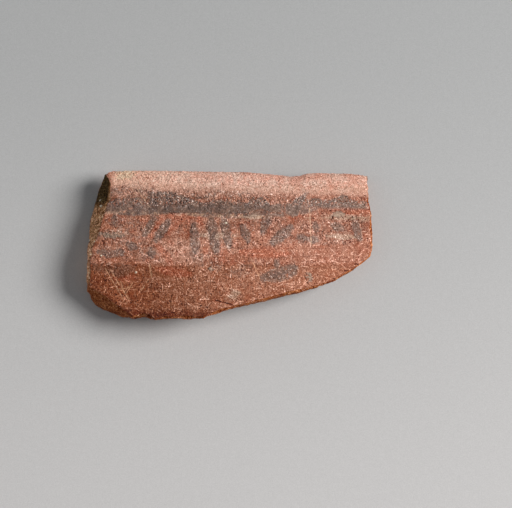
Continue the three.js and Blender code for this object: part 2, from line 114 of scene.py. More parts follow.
# Lines of the sherd's outline: share of the width, share of the height below the top of the rim
CREST = np.array([
    (0.06, 0.024), (0.07, 0.009), (0.085, 0.001), (0.22, 0), (0.4, 0.008), (0.57, 0.014), (0.66, 0.03),
    (0.712, 0.042), (0.746, 0.036), (0.768, 0.02), (0.8, 0.016), (0.93, 0.019), (0.981, 0.032),
])
OUTER_EDGES = {
    "left": np.array([
        (0.06, 0.024), (0.068, 0.046), (0.079, 0.09), (0.08, 0.142), (0.074, 0.19), (0.063, 0.23),
        (0.056, 0.28), (0.043, 0.356), (0.034, 0.43), (0.013, 0.516), (0.006, 0.6), (0.002, 0.7),
        (0.005, 0.798),
    ]),
    "right": np.array([
        (0.981, 0.032), (0.985, 0.09), (0.988, 0.2), (0.997, 0.29), (1, 0.435), (0.998, 0.53),
        (0.995, 0.576),
    ]),
    "bottom": np.array([
        (0.005, 0.798), (0.032, 0.811), (0.063, 0.854), (0.101, 0.901), (0.147, 0.966), (0.161, 0.989),
        (0.201, 0.964), (0.242, 1), (0.275, 0.989), (0.36, 0.992), (0.413, 0.983), (0.448, 0.961),
        (0.487, 0.932), (0.568, 0.889), (0.647, 0.858), (0.676, 0.836), (0.75, 0.809), (0.799, 0.783),
        (0.867, 0.739), (0.914, 0.684), (0.96, 0.633), (0.995, 0.576),
    ]),
}
INNER_EDGES = {
    "left": np.array([
        (0.06, 0.024), (0.041, 0.073), (0.03, 0.133), (0.02, 0.201), (0.01, 0.269), (0, 0.337),
        (-0.002, 0.413), (-0.003, 0.482), (-0.002, 0.595), (-0.001, 0.72), (0.003, 0.815),
    ]),
    "right": np.array([
        (0.981, 0.032), (0.973, 0.09), (0.966, 0.2), (0.965, 0.3), (0.968, 0.45), (0.966, 0.53),
        (0.962, 0.585),
    ]),
    "bottom": np.array([
        (0.003, 0.815), (0.008, 0.869), (0.024, 0.91), (0.053, 0.94), (0.092, 0.967), (0.124, 0.993),
        (0.242, 0.98), (0.36, 0.978), (0.45, 0.95), (0.57, 0.885), (0.68, 0.845), (0.8, 0.775),
        (0.88, 0.715), (0.93, 0.66), (0.962, 0.585),
    ]),
}

# Grains of temper. On the outer face: the two shares, then the radius. In the breaks: side, height share,
# share of the wall's thickness, radius.
GRAIN_SUNK = 0.35
FACE_GRAINS = ((0.487, 0.358, 0.495 * MM), (0.052, 0.576, 0.55 * MM), (0.175, 0.686, 0.5225 * MM))
BREAK_GRAINS = (
    ("left", 0.2, 0.5, 0.55 * MM), ("left", 0.24, 0.3, 0.66 * MM), ("left", 0.47, 0.6, 0.55 * MM),
    ("right", 0.17, 0.45, 0.605 * MM), ("right", 0.4, 0.55, 0.495 * MM),
)

# Whole numbers that stir a place into an even spread of values
STIR_PLACE = np.array((374761393, 668265263, 2147483647))
STIR_AGAIN = 1274126177
STIR_MASK = 0xFFFFFFFF
SEED_STEP = 17.31

# Usual spread of a soft pattern around its middle, how sharp a speck's edge is in it, the sizes of fine,
# small and middle grains in millimetres, and how a seed shifts a pattern
CLOUD_SPREAD = 0.5
SPECK_EDGE = 0.15
FINE_GRAIN, SMALL_GRAIN, MIDDLE_GRAIN = 0.36, 0.8, 1.9
SEED_SHIFT = (3.7, 5.1, 1.9)

# How a screen bends its shades, and the darkest that a finish may be
SHADE_CURVE = 2.4
DEEPEST_SHADE = (0.06, 0.04, 0.03)


def smooth(low, high, value):
    part = np.clip((value - low) / (high - low), 0, 1)
    return part * part * (3 - 2 * part)


def uneven(place, size, seed):
    """Soft highs and lows from -1 to 1 that change over about one size, at an array of places."""
    at = place / size + seed * SEED_STEP
    cell = np.floor(at).astype(np.int64)
    ease = smooth(0, 1, at - cell)
    total = np.zeros(at.shape[:-1])
    for corner in itertools.product((0, 1), repeat=3):
        stirred = ((cell + corner) @ STIR_PLACE) & STIR_MASK
        stirred = ((stirred ^ (stirred >> 13)) * STIR_AGAIN) & STIR_MASK
        value = ((stirred ^ (stirred >> 15)) & 0xFFFF) / 0x7FFF - 1
        total += value * np.prod(np.where(corner, ease, 1 - ease), axis=-1)
    return total


def on_face(x, down):
    return np.stack(np.broadcast_arrays(x, down, 0 * x), axis=-1)


def waves(place, kinds):
    """Sum of uneven patterns, each given by its height and size in millimetres and its seed."""
    return sum(height * MM * uneven(place, size * MM, seed) for height, size, seed in kinds)


def pitted(place, kinds):
    """Sum of pits, each kind given by its depth and size in millimetres, its seed, and the heights of an
    uneven pattern where the pits begin and where they are full."""
    return sum(
        depth * MM * smooth(begin, full, uneven(place, size * MM, seed))
        for depth, size, seed, begin, full in kinds
    )


def wander(along, seed):
    """How far a broken edge strays sideways at places along it."""
    return waves(on_face(along, 0 * along), ((0.2, 1.9, seed), (0.11, 0.6, seed + 1)))


def width_place(share):
    return (share - 1 / 2) * WIDTH


def line_depth(line, x):
    """Depth of an outline at places along the rim."""
    return np.interp(x / WIDTH + 1 / 2, line[:, 0], line[:, 1]) * HEIGHT


def edge_x(edge, down):
    return width_place(np.interp(down / HEIGHT, edge[:, 1], edge[:, 0]))


def lip_fall(down, crest, height):
    """Quarter of an ellipse: 0 where the round of the lip ends on the wall, 1 at the crest."""
    rise = np.clip((height - down) / (height - crest), 0, 1)
    return 1 - np.sqrt(1 - rise * rise)


def outer_radius(x, down, sunk):
    share = down / HEIGHT
    start, full, foot, top = GROOVE_SHARES
    groove = smooth(start, full, share) * (1 - smooth(foot, top, share))
    below = np.maximum(0, (share - RIDGE_SHARE) / (1 - RIDGE_SHARE))
    drawn_in = np.where(
        below < RIDGE_SOFTNESS, below * below / (2 * RIDGE_SOFTNESS), below - RIDGE_SOFTNESS / 2
    )
    return (
        BOWL_RADIUS - sunk + WALL_SPREAD * share
        - (LIP_DEPTH - sunk) * lip_fall(down, line_depth(CREST, x), LIP_OUTSIDE)
        - GROOVE_DEPTH * groove - LOWER_WALL_SET_IN * drawn_in
    )


def inner_radius(x, down, sunk):
    share = down / HEIGHT
    return (
        BOWL_RADIUS - WALL + sunk + WALL_SPREAD * share
        + (WALL - LIP_DEPTH - sunk) * lip_fall(down, line_depth(CREST, x), LIP_INSIDE)
        - INNER_WALL_SET_IN * share * share
    )


def bowl_point(x, down, radius):
    return np.stack((x, -down, np.sqrt(radius * radius - x * x) - BOWL_RADIUS), axis=-1)


def face_relief(x, down):
    """Height of the outer face over its even form: the potter's dents, and edges rubbed round at the
    breaks."""
    place = on_face(x, down)
    to_edge = np.minimum(x - edge_x(OUTER_EDGES["left"], down), edge_x(OUTER_EDGES["right"], down) - x)
    to_edge = np.minimum(to_edge, line_depth(OUTER_EDGES["bottom"], x) - down)
    chipped = 0.2 + 0.3 * smooth(-0.2, 0.9, uneven(place, 2.2 * MM, 3))
    rubbed = chipped * MM * np.exp(-np.maximum(to_edge, 0) / RUBBED_EDGE)
    return waves(place, DENTS) * smooth(0, DENTS_START, down) - rubbed


def outer_point(x, down, sunk):
    return bowl_point(x, down, outer_radius(x, down, sunk) + face_relief(x, down))


def bound_depth(edges, bound, along, slope):
    """Depth of the upper or lower bound of a coil. Bound 0 is the crest, and the last is the bottom
    break."""
    if 0 < bound <= len(JOINT_SHARES):
        at_left, at_right = JOINT_SHARES[bound - 1]
        return (at_left + (at_right - at_left) * along) * HEIGHT - slope
    line = edges["bottom"] if bound else CREST
    x = width_place(line[0, 0] + (line[-1, 0] - line[0, 0]) * along)
    return line_depth(line, x) + (wander(x, 11) if bound else 0)


def skin_place(edges, coil, along, share, slope, gap):
    """Place on a skin of the sherd: x along the rim and the depth below its top."""
    def depth_at(at):
        top = bound_depth(edges, coil, at, slope) + gap / 2 * (coil > 0)
        bottom = bound_depth(edges, coil + 1, at, slope) - gap / 2 * (coil < len(JOINT_SHARES))
        return top + (bottom - top) * share

    depth_left = depth_at(0 * along)
    depth_right = depth_at(0 * along + 1)
    left = edge_x(edges["left"], depth_left) + wander(depth_left, 21)
    right = edge_x(edges["right"], depth_right) + wander(depth_right, 31)
    return left + (right - left) * along, depth_at(along)


def grain_places():
    """Each temper grain's radius and its centre on the bowl, in the order of their nodes."""
    grains = []
    for x_share, down_share, radius in FACE_GRAINS:
        x = width_place(x_share)
        down = down_share * HEIGHT
        grains.append((radius, bowl_point(x, down, outer_radius(x, down, GRAIN_SUNK * radius))))
    for side, down_share, across, radius in BREAK_GRAINS:
        sign = -1 if side == "left" else 1
        down = down_share * HEIGHT
        outer_x = edge_x(OUTER_EDGES[side], down)
        inner_x = edge_x(INNER_EDGES[side], down)
        outer = bowl_point(outer_x, down, outer_radius(outer_x, down, 0))
        inner = bowl_point(inner_x, down, inner_radius(inner_x, down, 0))
        centre = outer + (inner - outer) * across
        swell = BREAK_SWELL * (1 - abs(2 * across - 1))
        centre[0] += sign * (swell - GRAIN_SUNK * radius)
        grains.append((radius, centre))
    return grains


def lie_of_the_sherd():
    """The turn and the shift that lay the sherd on the ground, as its temper grains lie in the frame."""
    on_bowl = np.array([centre for _, centre in grain_places()])
    boxes = [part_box(f"temper_grain_{n + 1:02}") for n in range(len(on_bowl))]
    in_frame = np.array([(low + high) / 2 for low, high in boxes])
    spread = (on_bowl - on_bowl.mean(axis=0)).T @ (in_frame - in_frame.mean(axis=0))
    left, _, right = np.linalg.svd(spread)
    turn = left @ np.diag((1, 1, np.sign(np.linalg.det(left @ right)))) @ right
    return turn, in_frame.mean(axis=0) - on_bowl.mean(axis=0) @ turn


turn_to_lie, shift_to_lie = lie_of_the_sherd()


def laid(points):
    """Points of the bowl where the sherd lies. What would reach under the ground is worn flat on it."""
    lying = points @ turn_to_lie + shift_to_lie
    lying[..., 2] = np.maximum(lying[..., 2], 0)
    return lying


def added(name, data):
    """A new object of the scene that holds the data."""
    holder = bpy.data.objects.new(name, data)
    bpy.context.scene.collection.objects.link(holder)
    return holder


def keep(mesh, name, values):
    """Keeps a number or a vector at each corner of a mesh for its finish to read."""
    kind, part = ("FLOAT_VECTOR", "vector") if values.ndim > 1 else ("FLOAT", "value")
    kept = mesh.attributes.new(name, kind, "POINT")
    kept.data.foreach_set(part, values.astype(np.float32).ravel())


def shaped(name, points, places, faces, material):
    """A piece with its shape and material, and each corner's place on the bowl kept for its finish."""
    mesh = bpy.data.meshes.new(name)
    mesh.from_pydata(points.tolist(), [], faces)
    keep(mesh, "place", places)
    mesh.shade_smooth()
    mesh.materials.append(material)
    return added(name, mesh)


def finished(piece, slot, *nodes):
    """Says what a piece rides on and hides the parts that it stands for. The slot is not used."""
    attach(piece, "root")
    if nodes:
        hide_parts(*nodes)


def block(points, relief=None, pinched=False):
    """Corners and faces of the closed surface around a lattice of points, raised by the relief along its
    normals. A pinched lattice has its first row in one line. Says which lattice points are corners too."""
    columns, rows, layers = points.shape[:3]
    ids = np.full((columns, rows, layers), -1)
    surface = np.zeros(ids.shape, bool)
    surface[[0, -1]] = surface[:, [0, -1]] = surface[:, :, [0, -1]] = True
    if pinched:
        surface[:, 0, 1:] = False
    ids[surface] = np.arange(surface.sum())
    if pinched:
        ids[:, 0, :] = ids[:, 0, :1]
    faces = []
    for side in (ids[:, :, 0].T, ids[:, :, -1], ids[0].T, ids[-1], ids[:, 0], ids[:, -1].T):
        quads = np.stack((side[:-1, :-1], side[1:, :-1], side[1:, 1:], side[:-1, 1:]), axis=-1)
        for quad in quads.reshape(-1, 4).tolist():
            corners = list(dict.fromkeys(quad))
            if len(corners) > 2:
                faces.append(corners)
    if relief is None:
        return points[surface], faces, surface
    plain = bpy.data.meshes.new("plain")
    plain.from_pydata(points[surface].tolist(), [], faces)
    normals = np.zeros(surface.sum() * 3, np.float32)
    plain.vertices.foreach_get("normal", normals)
    bpy.data.meshes.remove(plain)
    raised = points[surface] + normals.reshape(-1, 3) * relief[surface][:, None]
    return raised, faces, surface


def coil(name, number, rows, closeness, material):
    """One coil of clay, rough where it broke and gritty where the rim is rubbed bare."""
    along = np.linspace(0, 1, COLUMNS + 1)[:, None]
    share = np.linspace(0, 1, rows + 1)[None, :] ** closeness
    outer_x, outer_down = skin_place(OUTER_EDGES, number, along, share, 0, JOINT_GAP)
    inner_x, inner_down = skin_place(INNER_EDGES, number, along, share, JOINT_SLOPE, JOINT_GAP)
    outer = outer_point(outer_x, outer_down, COAT_ALLOWANCE)
    inner = bowl_point(inner_x, inner_down, inner_radius(inner_x, inner_down, COAT_ALLOWANCE))
    across = np.linspace(0, 1, LAYERS + 1)[:, None]
    points = outer[:, :, None] * (1 - across) + inner[:, :, None] * across
    if number == 0:
        points[:, 0] = outer[:, :1]
    outer_lip = LIP_DEPTH * lip_fall(outer_down, line_depth(CREST, outer_x), LIP_OUTSIDE)
    inner_lip = (WALL - LIP_DEPTH) * lip_fall(inner_down, line_depth(CREST, inner_x), LIP_INSIDE)
    outside = np.stack((outer_x, outer_down, outer_lip), axis=-1)
    inside = np.stack((inner_x, inner_down, WALL - inner_lip), axis=-1)
    places = outside[:, :, None] * (1 - across) + inside[:, :, None] * across
    skin = np.zeros(places.shape[:3])
    skin[..., [0, -1]] = 1

    across = across[:, 0]
    swell = 4 * BREAK_SWELL * across * (1 - across)
    points[0, :, :, 0] -= swell
    points[-1, :, :, 0] += swell
    rough = waves(places, BREAK_ROUGHNESS) - pitted(places, BREAK_PITS)
    rough *= np.sqrt(np.sin(np.pi * across))
    grit = waves(places, RIM_GRIT) - pitted(places, RIM_PITS)
    grit *= 1 - smooth(*GRIT_ENDS, places[..., 1])
    relief = np.zeros(rough.shape)
    bare = np.zeros(rough.shape)
    relief[[0, -1]] = rough[[0, -1]]
    bare[[0, -1]] = 1
    bare[..., 0] = places[..., 0, 1] < BARE_RIM
    if number == len(JOINT_SHARES):
        points[:, -1, :, 1] -= swell
        relief[:, -1] = rough[:, -1]
        bare[:, -1] = 1
    relief[1:-1, :, [0, -1]] = grit[1:-1, :, [0, -1]]

    corners, faces, surface = block(points, relief, number == 0)
    piece = shaped(name, laid(corners), places[surface], faces, material)
    keep(piece.data, "bare", bare[surface])
    keep(piece.data, "skin", skin[surface])
    finished(piece, "clay", name)
    return piece


class Value:
    """A socket of a node that plain arithmetic works on: each sum adds a Math node beside it."""

    def __init__(self, sheet, socket):
        self.sheet = sheet
        self.socket = socket

    def output(self, name):
        return Value(self.sheet, self.socket.node.outputs[name])

    def sum(self, operation, first, second=0):
        sockets = {"Value": first, "Value_001": second}
        return self.sheet.add("ShaderNodeMath", {"operation": operation}, sockets)

    def __add__(self, other):
        return self.sum("ADD", self, other)

    def __sub__(self, other):
        return self.sum("SUBTRACT", self, other)

    def __rsub__(self, other):
        return self.sum("SUBTRACT", other, self)

    def __mul__(self, other):
        return self.sum("MULTIPLY", self, other)

    def __truediv__(self, other):
        return self.sum("DIVIDE", self, other)

    def __abs__(self):
        return self.sum("ABSOLUTE", self)

    __radd__ = __add__
    __rmul__ = __mul__


class Sheet:
    """A sheet of nodes, of a finish or of Geometry Nodes."""

    def __init__(self, tree):
        self.tree = tree

    def add(self, kind, settings=None, sockets=None, output=0):
        """Adds a node, makes its settings, and fills its sockets with values or links."""
        node = self.tree.nodes.new(kind)
        for name, setting in (settings or {}).items():
            setattr(node, name, setting)
        by_name = {socket.identifier: socket for socket in node.inputs}
        for name, value in (sockets or {}).items():
            if isinstance(value, Value):
                self.tree.links.new(value.socket, by_name[name])
            else:
                by_name[name].default_value = value
        return Value(self, node.outputs[output]) if node.outputs else node

    def vector(self, operation, *vectors, output=0):
        """Vector maths on up to three vectors or links."""
        sockets = dict(zip(("Vector", "Vector_001", "Vector_002"), vectors))
        return self.add("ShaderNodeVectorMath", {"operation": operation}, sockets, output)


def as_seen(red, green, blue):
    """A colour as it shows on a screen, from 0 to 255, in the linear values that a finish takes."""
    shown = np.array((red, green, blue)) / 255
    linear = np.where(shown <= 0.04045, shown / 12.92, ((shown + 0.055) / 1.055) ** 2.4)
    return (*linear.tolist(), 1)


class Finish(Sheet):
    """The nodes of one finish. Patterns read the place on the bowl, so that they run on over an edge. The
    lengths that its methods are given are in millimetres."""

    def __init__(self, name):
        self.material = bpy.data.materials.new(name)
        self.material.use_nodes = True
        super().__init__(self.material.node_tree)
        self.tree.nodes.clear()
        self.place = self.add("ShaderNodeAttribute", {"attribute_name": "place"}, output="Vector")
        parts = self.add("ShaderNodeSeparateXYZ", None, {"Vector": self.place})
        self.x = parts
        self.down = parts.output("Y")
        self.depth = parts.output("Z")

    def attribute(self, name):
        return self.add("ShaderNodeAttribute", {"attribute_name": name}, output="Fac")

    def moved(self, size, seed):
        """Places in a pattern of that size, shifted by its seed. A stretched pattern has three sizes."""
        scale = [1 / (length * MM) for length in np.broadcast_to(size, 3).tolist()]
        shift = [seed * step for step in SEED_SHIFT]
        return self.add("ShaderNodeMapping", None, {"Vector": self.place, "Location": shift, "Scale": scale})

    def cloud(self, size, seed, detail=2.0):
        """Soft patches from about -1 to 1."""
        sockets = {"Vector": self.moved(size, seed), "Scale": 1.0, "Detail": detail, "Roughness": 0.6}
        return self.add("ShaderNodeTexNoise", None, sockets) * 4 - 2

    def ramp(self, value, low, high):
        """0 below the low value, 1 above the high one, and smooth between."""
        sockets = {"Value": value, "From Min": low, "From Max": high}
        return self.add("ShaderNodeMapRange", {"interpolation_type": "SMOOTHSTEP"}, sockets)

    def past(self, way, start, full, stray=None):
        """0 up to the start of a part of the bowl, and 1 where it is full. Its edge may stray: by how
        much, in patches of what size, with what seed."""
        if stray:
            reach, size, seed = stray
            way = way + reach * MM * self.cloud(size, seed)
        return self.ramp(way, start * MM, full * MM)

    def before(self, way, fading, end, stray=None):
        """1 up to where a part of the bowl fades, and 0 past its end."""
        return 1 - self.past(way, fading, end, stray)

    def patches(self, size, seed, low, high):
        """A cloud cut to patches: 0 below its low value, and 1 above its high one."""
        return self.ramp(self.cloud(size, seed), low, high)

    def mix(self, mask, under, over):
        """One colour over another. Each is a link, or red, green and blue as a screen shows them."""
        under, over = (tint if isinstance(tint, Value) else as_seen(*tint) for tint in (under, over))
        sockets = {"Factor_Float": mask, "A_Color": under, "B_Color": over}
        return self.add("ShaderNodeMix", {"data_type": "RGBA"}, sockets, output=2)

    def blotched(self, colour, size, seed, low, high, strength, tint):
        """A colour under patches of a tint."""
        return self.mix(self.patches(size, seed, low, high) * strength, colour, tint)

    def shaded(self, colour, shade):
        """Makes a colour lighter or darker by a part of the whole range, and leaves its tint."""
        shown = self.add("ShaderNodeGamma", None, {"Color": colour, "Gamma": 1 / SHADE_CURVE})
        held = self.vector("MAXIMUM", self.vector("ADD", shown, shade), DEEPEST_SHADE)
        return self.add("ShaderNodeGamma", None, {"Color": held, "Gamma": SHADE_CURVE})

    def grain(self, seed, fine, small, middle):
        """Uneven shade in fine, small and middle grains, each as strong as asked."""
        shade = fine * self.cloud(FINE_GRAIN, seed, 1.0) + small * self.cloud(SMALL_GRAIN, seed + 300, 1.0)
        return shade + middle * self.cloud(MIDDLE_GRAIN, seed + 600, 1.0)

    def specks(self, size, seed, share):
        """Small sharp specks over about that share of the surface."""
        edge = CLOUD_SPREAD * NormalDist().inv_cdf(1 - share)
        return self.ramp(self.cloud(size, seed, 1.0), edge - SPECK_EDGE, edge + SPECK_EDGE)

    def curls(self, size, seed, width):
        """Thin lines that wander and close on themselves."""
        return 1 - self.ramp(abs(self.cloud(size, seed, 1.0)), width / 4, width)

    def done(self, colour, roughness, height, depth, gloss=0.5):
        """Closes the finish. The height, from about -1 to 1, is raised by the depth."""
        bump = self.add("ShaderNodeBump", None, {"Height": height, "Distance": depth * MM, "Strength": 1.0})
        sockets = {"Base Color": colour, "Roughness": roughness, "Normal": bump, "Specular IOR Level": gloss}
        surface = self.add("ShaderNodeBsdfPrincipled", None, sockets)
        self.add("ShaderNodeOutputMaterial", None, {"Surface": surface})
        return self.material


def rim_ground(finish):
    """The rubbed rim: pale salmon clay, beige and orange at its left end. It is darker at the foot of the
    lip, as painted shade where the lip turns down, and its left part and orange end are painted lighter, as
    painted light where the lamp from the right reaches them less.
    """
    ground = finish.mix(finish.patches(5, 3, -0.6, 0.8), RIM_SALMON, RIM_PALE)
    # Painted shade at the foot of the lip, where it turns down.
    ground = finish.mix(finish.past(finish.down, 3.6, 6) * 0.6, ground, RIM_FOOT_SHADED)
    # Painted light on the left part of the rim and on its orange end, which the lamp reaches less.
    ground = finish.mix(finish.before(finish.x, -40, 4) * 0.6, ground, RIM_LEFT_LIT)
    orange_end = finish.before(finish.x, -40, -36.5, stray=(0.7, 2, 4))
    ground = finish.mix(orange_end * 0.8, ground, RIM_ORANGE)
    beige = finish.past(finish.x, -38, -36) * finish.before(finish.x, -33, -30)
    beige = beige * finish.before(finish.down, 2, 3.4, stray=(0.6, 1.5, 5))
    ground = finish.mix(beige * 0.75, ground, RIM_BEIGE)
    return finish.blotched(ground, 1.3, 6, 0, 0.9, 0.5, RIM_RUST)


def worn_rim_colour(finish):
    shade = finish.grain(8, 0.14, 0.05, 0) + 0.12 * finish.curls(0.8, 7, 0.2)
    shade = shade + 0.22 * finish.specks(0.45, 55, 0.07)
    # Painted light and shade: the rim is lightened overall, and painted shade darkens it towards the right,
    # where the lamp from the right is strongest.
    shade = shade + 0.06 - 0.05 * finish.past(finish.x, 4, 26)
    return finish.shaded(rim_ground(finish), shade - 0.38 * finish.specks(0.42, 9, 0.08))


def broken_colour(finish):
    """Freshly broken clay: orange-brown, with a darker core where the fire didn't reach. The left break is
    painted lighter than the others, and paler lower down, as painted light where it lies in shade; the
    dark core at its top is partly painted shade.
    """
    broken = finish.mix(finish.patches(3, 11, -0.7, 0.7), BREAK_BROWN, BREAK_ORANGE)
    on_left = finish.before(finish.x, -38, -30)
    inner_part = finish.past(finish.depth, 0.3, 1.3, stray=(0.5, 1.6, 12))
    upper = finish.before(finish.down, 9.5, 13.5, stray=(1.4, 3, 13))
    lower = finish.past(finish.down, 35, 38, stray=(1.5, 3, 14))
    # Painted light on the shaded left break: lighter colours than the other breaks, and paler lower down.
    patchy = finish.mix(finish.patches(1.3, 21, -0.4, 0.6), LEFT_BREAK_LIT_DULL, LEFT_BREAK_LIT_LIGHT)
    pale = finish.past(finish.down, 23, 26, stray=(1, 2, 22))
    patchy = finish.mix(pale * 0.6, patchy, LEFT_BREAK_LIT_PALE)
    broken = finish.mix(on_left * (1 - lower) * 0.9, broken, patchy)
    # The dark top of the left break: partly the clay's unfired core, partly painted shade.
    broken = finish.mix(on_left * upper * inner_part, broken, LEFT_CORE_AND_SHADE)
    on_right = finish.past(finish.x, 30, 38)
    in_core = finish.ramp(1 - abs(finish.depth / (4 * MM) - 1) + 0.25 * finish.cloud(1.5, 15), 0.45, 0.75)
    return finish.mix(on_right * in_core * 0.6, broken, RIGHT_CORE)


def clay_finish():
    finish = Finish("fired_clay")
    pits = finish.specks(0.7, 16, 0.1)
    # Painted light: the left break lies in shade, so its clay is made lighter there and its grain stronger.
    shadowed_left_break = finish.before(finish.x, -40, -34) * finish.past(finish.down, 11, 14)
    shadowed_left_break = shadowed_left_break * finish.before(finish.down, 33, 36)
    shade = finish.grain(17, 0.22, 0.16, 0.08) * (1 + 0.8 * shadowed_left_break) - 0.25 * pits
    shade = shade + 0.1 * shadowed_left_break
    broken = finish.shaded(broken_colour(finish), shade)
    on_rim = finish.before(finish.down, 8, 9, stray=(0.5, 1.2, 18))
    in_skin = finish.ramp(finish.attribute("skin") + 0.2 * finish.cloud(0.7, 10), 0.5, 0.9)
    colour = finish.mix(on_rim * in_skin, broken, worn_rim_colour(finish))
    grit = finish.cloud(0.35, 19, 3.0)
    return finish.done(colour, 0.9 + 0.06 * finish.cloud(2, 20), grit - pits, 0.08, 0.12)


def crumb_finish():
    """Grains of sand and of ground sherd, of the tint of the clay round them, and lighter or darker."""
    finish = Finish("sand_crumbs")
    ground = finish.mix(finish.attribute("skin"), broken_colour(finish), rim_ground(finish))
    kind = finish.cloud(0.11, 31, 0.0)
    shade = 0.22 * finish.ramp(kind, 0.1, 0.4) + 0.35 * finish.ramp(kind, -0.4, -0.1) - 0.35
    return finish.done(finish.shaded(ground, shade), 0.9, finish.cloud(0.1, 32), 0.01, 0.2)


class Maker(Sheet):
    """Geometry Nodes that make one piece from another. Each input has a name and a kind of socket."""

    def __init__(self, name, **inputs):
        super().__init__(bpy.data.node_groups.new(name, "GeometryNodeTree"))
        for label, kind in {"Piece": "Geometry", **inputs, "Finish": "Material"}.items():
            self.tree.interface.new_socket(label, in_out="INPUT", socket_type="NodeSocket" + kind)
        self.tree.interface.new_socket("Made", in_out="OUTPUT", socket_type="NodeSocketGeometry")
        self.given = self.add("NodeGroupInput")

    def done(self, shape):
        """Closes the tree: the shape becomes one plain mesh with the finish on it."""
        plain = self.add("GeometryNodeRealizeInstances", None, {"Geometry": shape})
        covered = self.add("GeometryNodeSetMaterial", None, {
            "Geometry": plain, "Material": self.given.output("Finish"),
        })
        end = self.add("NodeGroupOutput")
        self.tree.links.new(covered.socket, end.inputs[0])
        return self.tree


def crumb_tree():
    """Geometry Nodes that strew crumbs over the bare clay of a coil."""
    maker = Maker("crumbs_on_bare_clay", Density="Float", Radius="Float", Seed="Int")
    given = maker.given
    bare = maker.add("GeometryNodeInputNamedAttribute", {"data_type": "FLOAT"}, {"Name": "bare"})
    chosen = maker.add("FunctionNodeCompare", {"operation": "GREATER_THAN"}, {"A": bare, "B": 0.5})
    spots = maker.add("GeometryNodeDistributePointsOnFaces", None, {
        "Mesh": given, "Selection": chosen, "Density": given.output("Density"), "Seed": given.output("Seed"),
    })
    sockets = {"Radius": given.output("Radius"), "Subdivisions": 1}
    crumb = maker.add("GeometryNodeMeshIcoSphere", None, sockets)
    turn = maker.add("FunctionNodeRandomValue", {"data_type": "FLOAT_VECTOR"}, {"Max": CRUMB_TURNS})
    least, most = CRUMB_SCALES
    sockets = {"Min": least, "Max": most, "Seed": 1}
    size = maker.add("FunctionNodeRandomValue", {"data_type": "FLOAT_VECTOR"}, sockets)
    return maker.done(maker.add("GeometryNodeInstanceOnPoints", None, {
        "Points": spots, "Instance": crumb, "Rotation": turn, "Scale": size,
    }))


def run_nodes(piece, tree, **inputs):
    """Turns a piece into the plain mesh that the tree makes of it."""
    modifier = piece.modifiers.new("nodes", "NODES")
    modifier.node_group = tree
    for item in tree.interface.items_tree:
        if item.name in inputs:
            modifier[item.identifier] = inputs[item.name]
    seen = piece.evaluated_get(bpy.context.evaluated_depsgraph_get())
    made = bpy.data.meshes.new_from_object(seen)
    piece.modifiers.remove(modifier)
    piece.data = made
    made.name = piece.name


clay = clay_finish()
crumbs = crumb_finish()
crumbs_on_clay = crumb_tree()
for number, (name, rows, closeness) in enumerate(COILS):
    body = coil(name + "_coil", number, rows, closeness, clay)
    strewn = added(name + "_crumbs", body.data.copy())
    run_nodes(strewn, crumbs_on_clay, Density=CRUMBS, Radius=CRUMB_RADIUS, Seed=number, Finish=crumbs)
    finished(strewn, "clay")

# The red slip on the outside: clay thinned with water and coloured with ochre, brushed on over the coils and
# burnished before firing. It is about a third of a millimetre thick, worn thin at the rim and flaked at the
# breaks, and fine pale scratches cross it.
SLIP_THICKNESS = 0.36 * MM
SLIP_START = 0.33
SLIP_COLUMNS = 280
SLIP_ROWS = (32, 44, 60)
SLIP_TAPER = 2.6 * MM
SLIP_PITS = ((0.2, 0.9, 55, 0.62, 0.85), (0.12, 0.55, 56, 0.6, 0.8))
SLIP_DENTS = ((0.07, 0.8, 54),)
BRUSH_MARKS = ((0.04, 0.8, 53),)
BRUSH_STRETCH = (14, 1, 1)
SLIP_BED = 0.01 * MM
LEAST_SLIP = 0.02 * MM
FLAKED_LEAST = 0.35 * MM
FLAKED_MORE = 0.45 * MM
SIDE_FLAKING = 40
BOTTOM_FLAKING = 30
HAIRLINE_WIDTH = 0.16 * MM
RUB_WIDTH = 0.21 * MM
FULL_TURN = 6.283

# Kinds of fine scratches: the size of their cells in millimetres, a seed, the share of the cells that have
# one, and the circle that they bend on, in cells
HAIRLINES = (
    (5.4, 1, 0.75, 1.2), (4.4, 2, 0.75, 2.6), (2.2, 3, 0.6, 1.1),
    (3.1, 4, 0.6, 2.2), (2.6, 5, 0.55, 3), (3.7, 6, 0.7, 1.8),
)

# Scratches and cracks that stand out one by one: two places as shares, then the width
SCRATCHES = (
    ((0.066, 0.66), (0.14, 0.895), 1), ((0.084, 0.67), (0.151, 0.872), 1.2),
    ((0.161, 0.085), (0.217, 0.244), 1.1), ((0.172, 0.08), (0.221, 0.22), 0.9),
    ((0.15, 0.106), (0.2, 0.254), 0.9), ((0.221, 0.63), (0.23, 0.724), 1.3),
    ((0.219, 0.731), (0.194, 0.805), 1), ((0.7785, 0.254), (0.783, 0.502), 1.3),
    ((0.574, 0.59), (0.602, 0.71), 1), ((0.108, 0.75), (0.136, 0.82), 1),
    ((0.12, 0.745), (0.135, 0.825), 0.9), ((0.155, 0.76), (0.133, 0.82), 1),
    ((0.165, 0.75), (0.137, 0.835), 0.8), ((0.105, 0.8), (0.163, 0.785), 0.9),
)
CRACKS = (
    ((0.936, 0.63), (0.963, 0.636), 1.3), ((0.9, 0.675), (0.936, 0.682), 1.5),
    ((0.862, 0.728), (0.872, 0.736), 1.3), ((0.45, 0.87), (0.51, 0.9), 1.2),
)

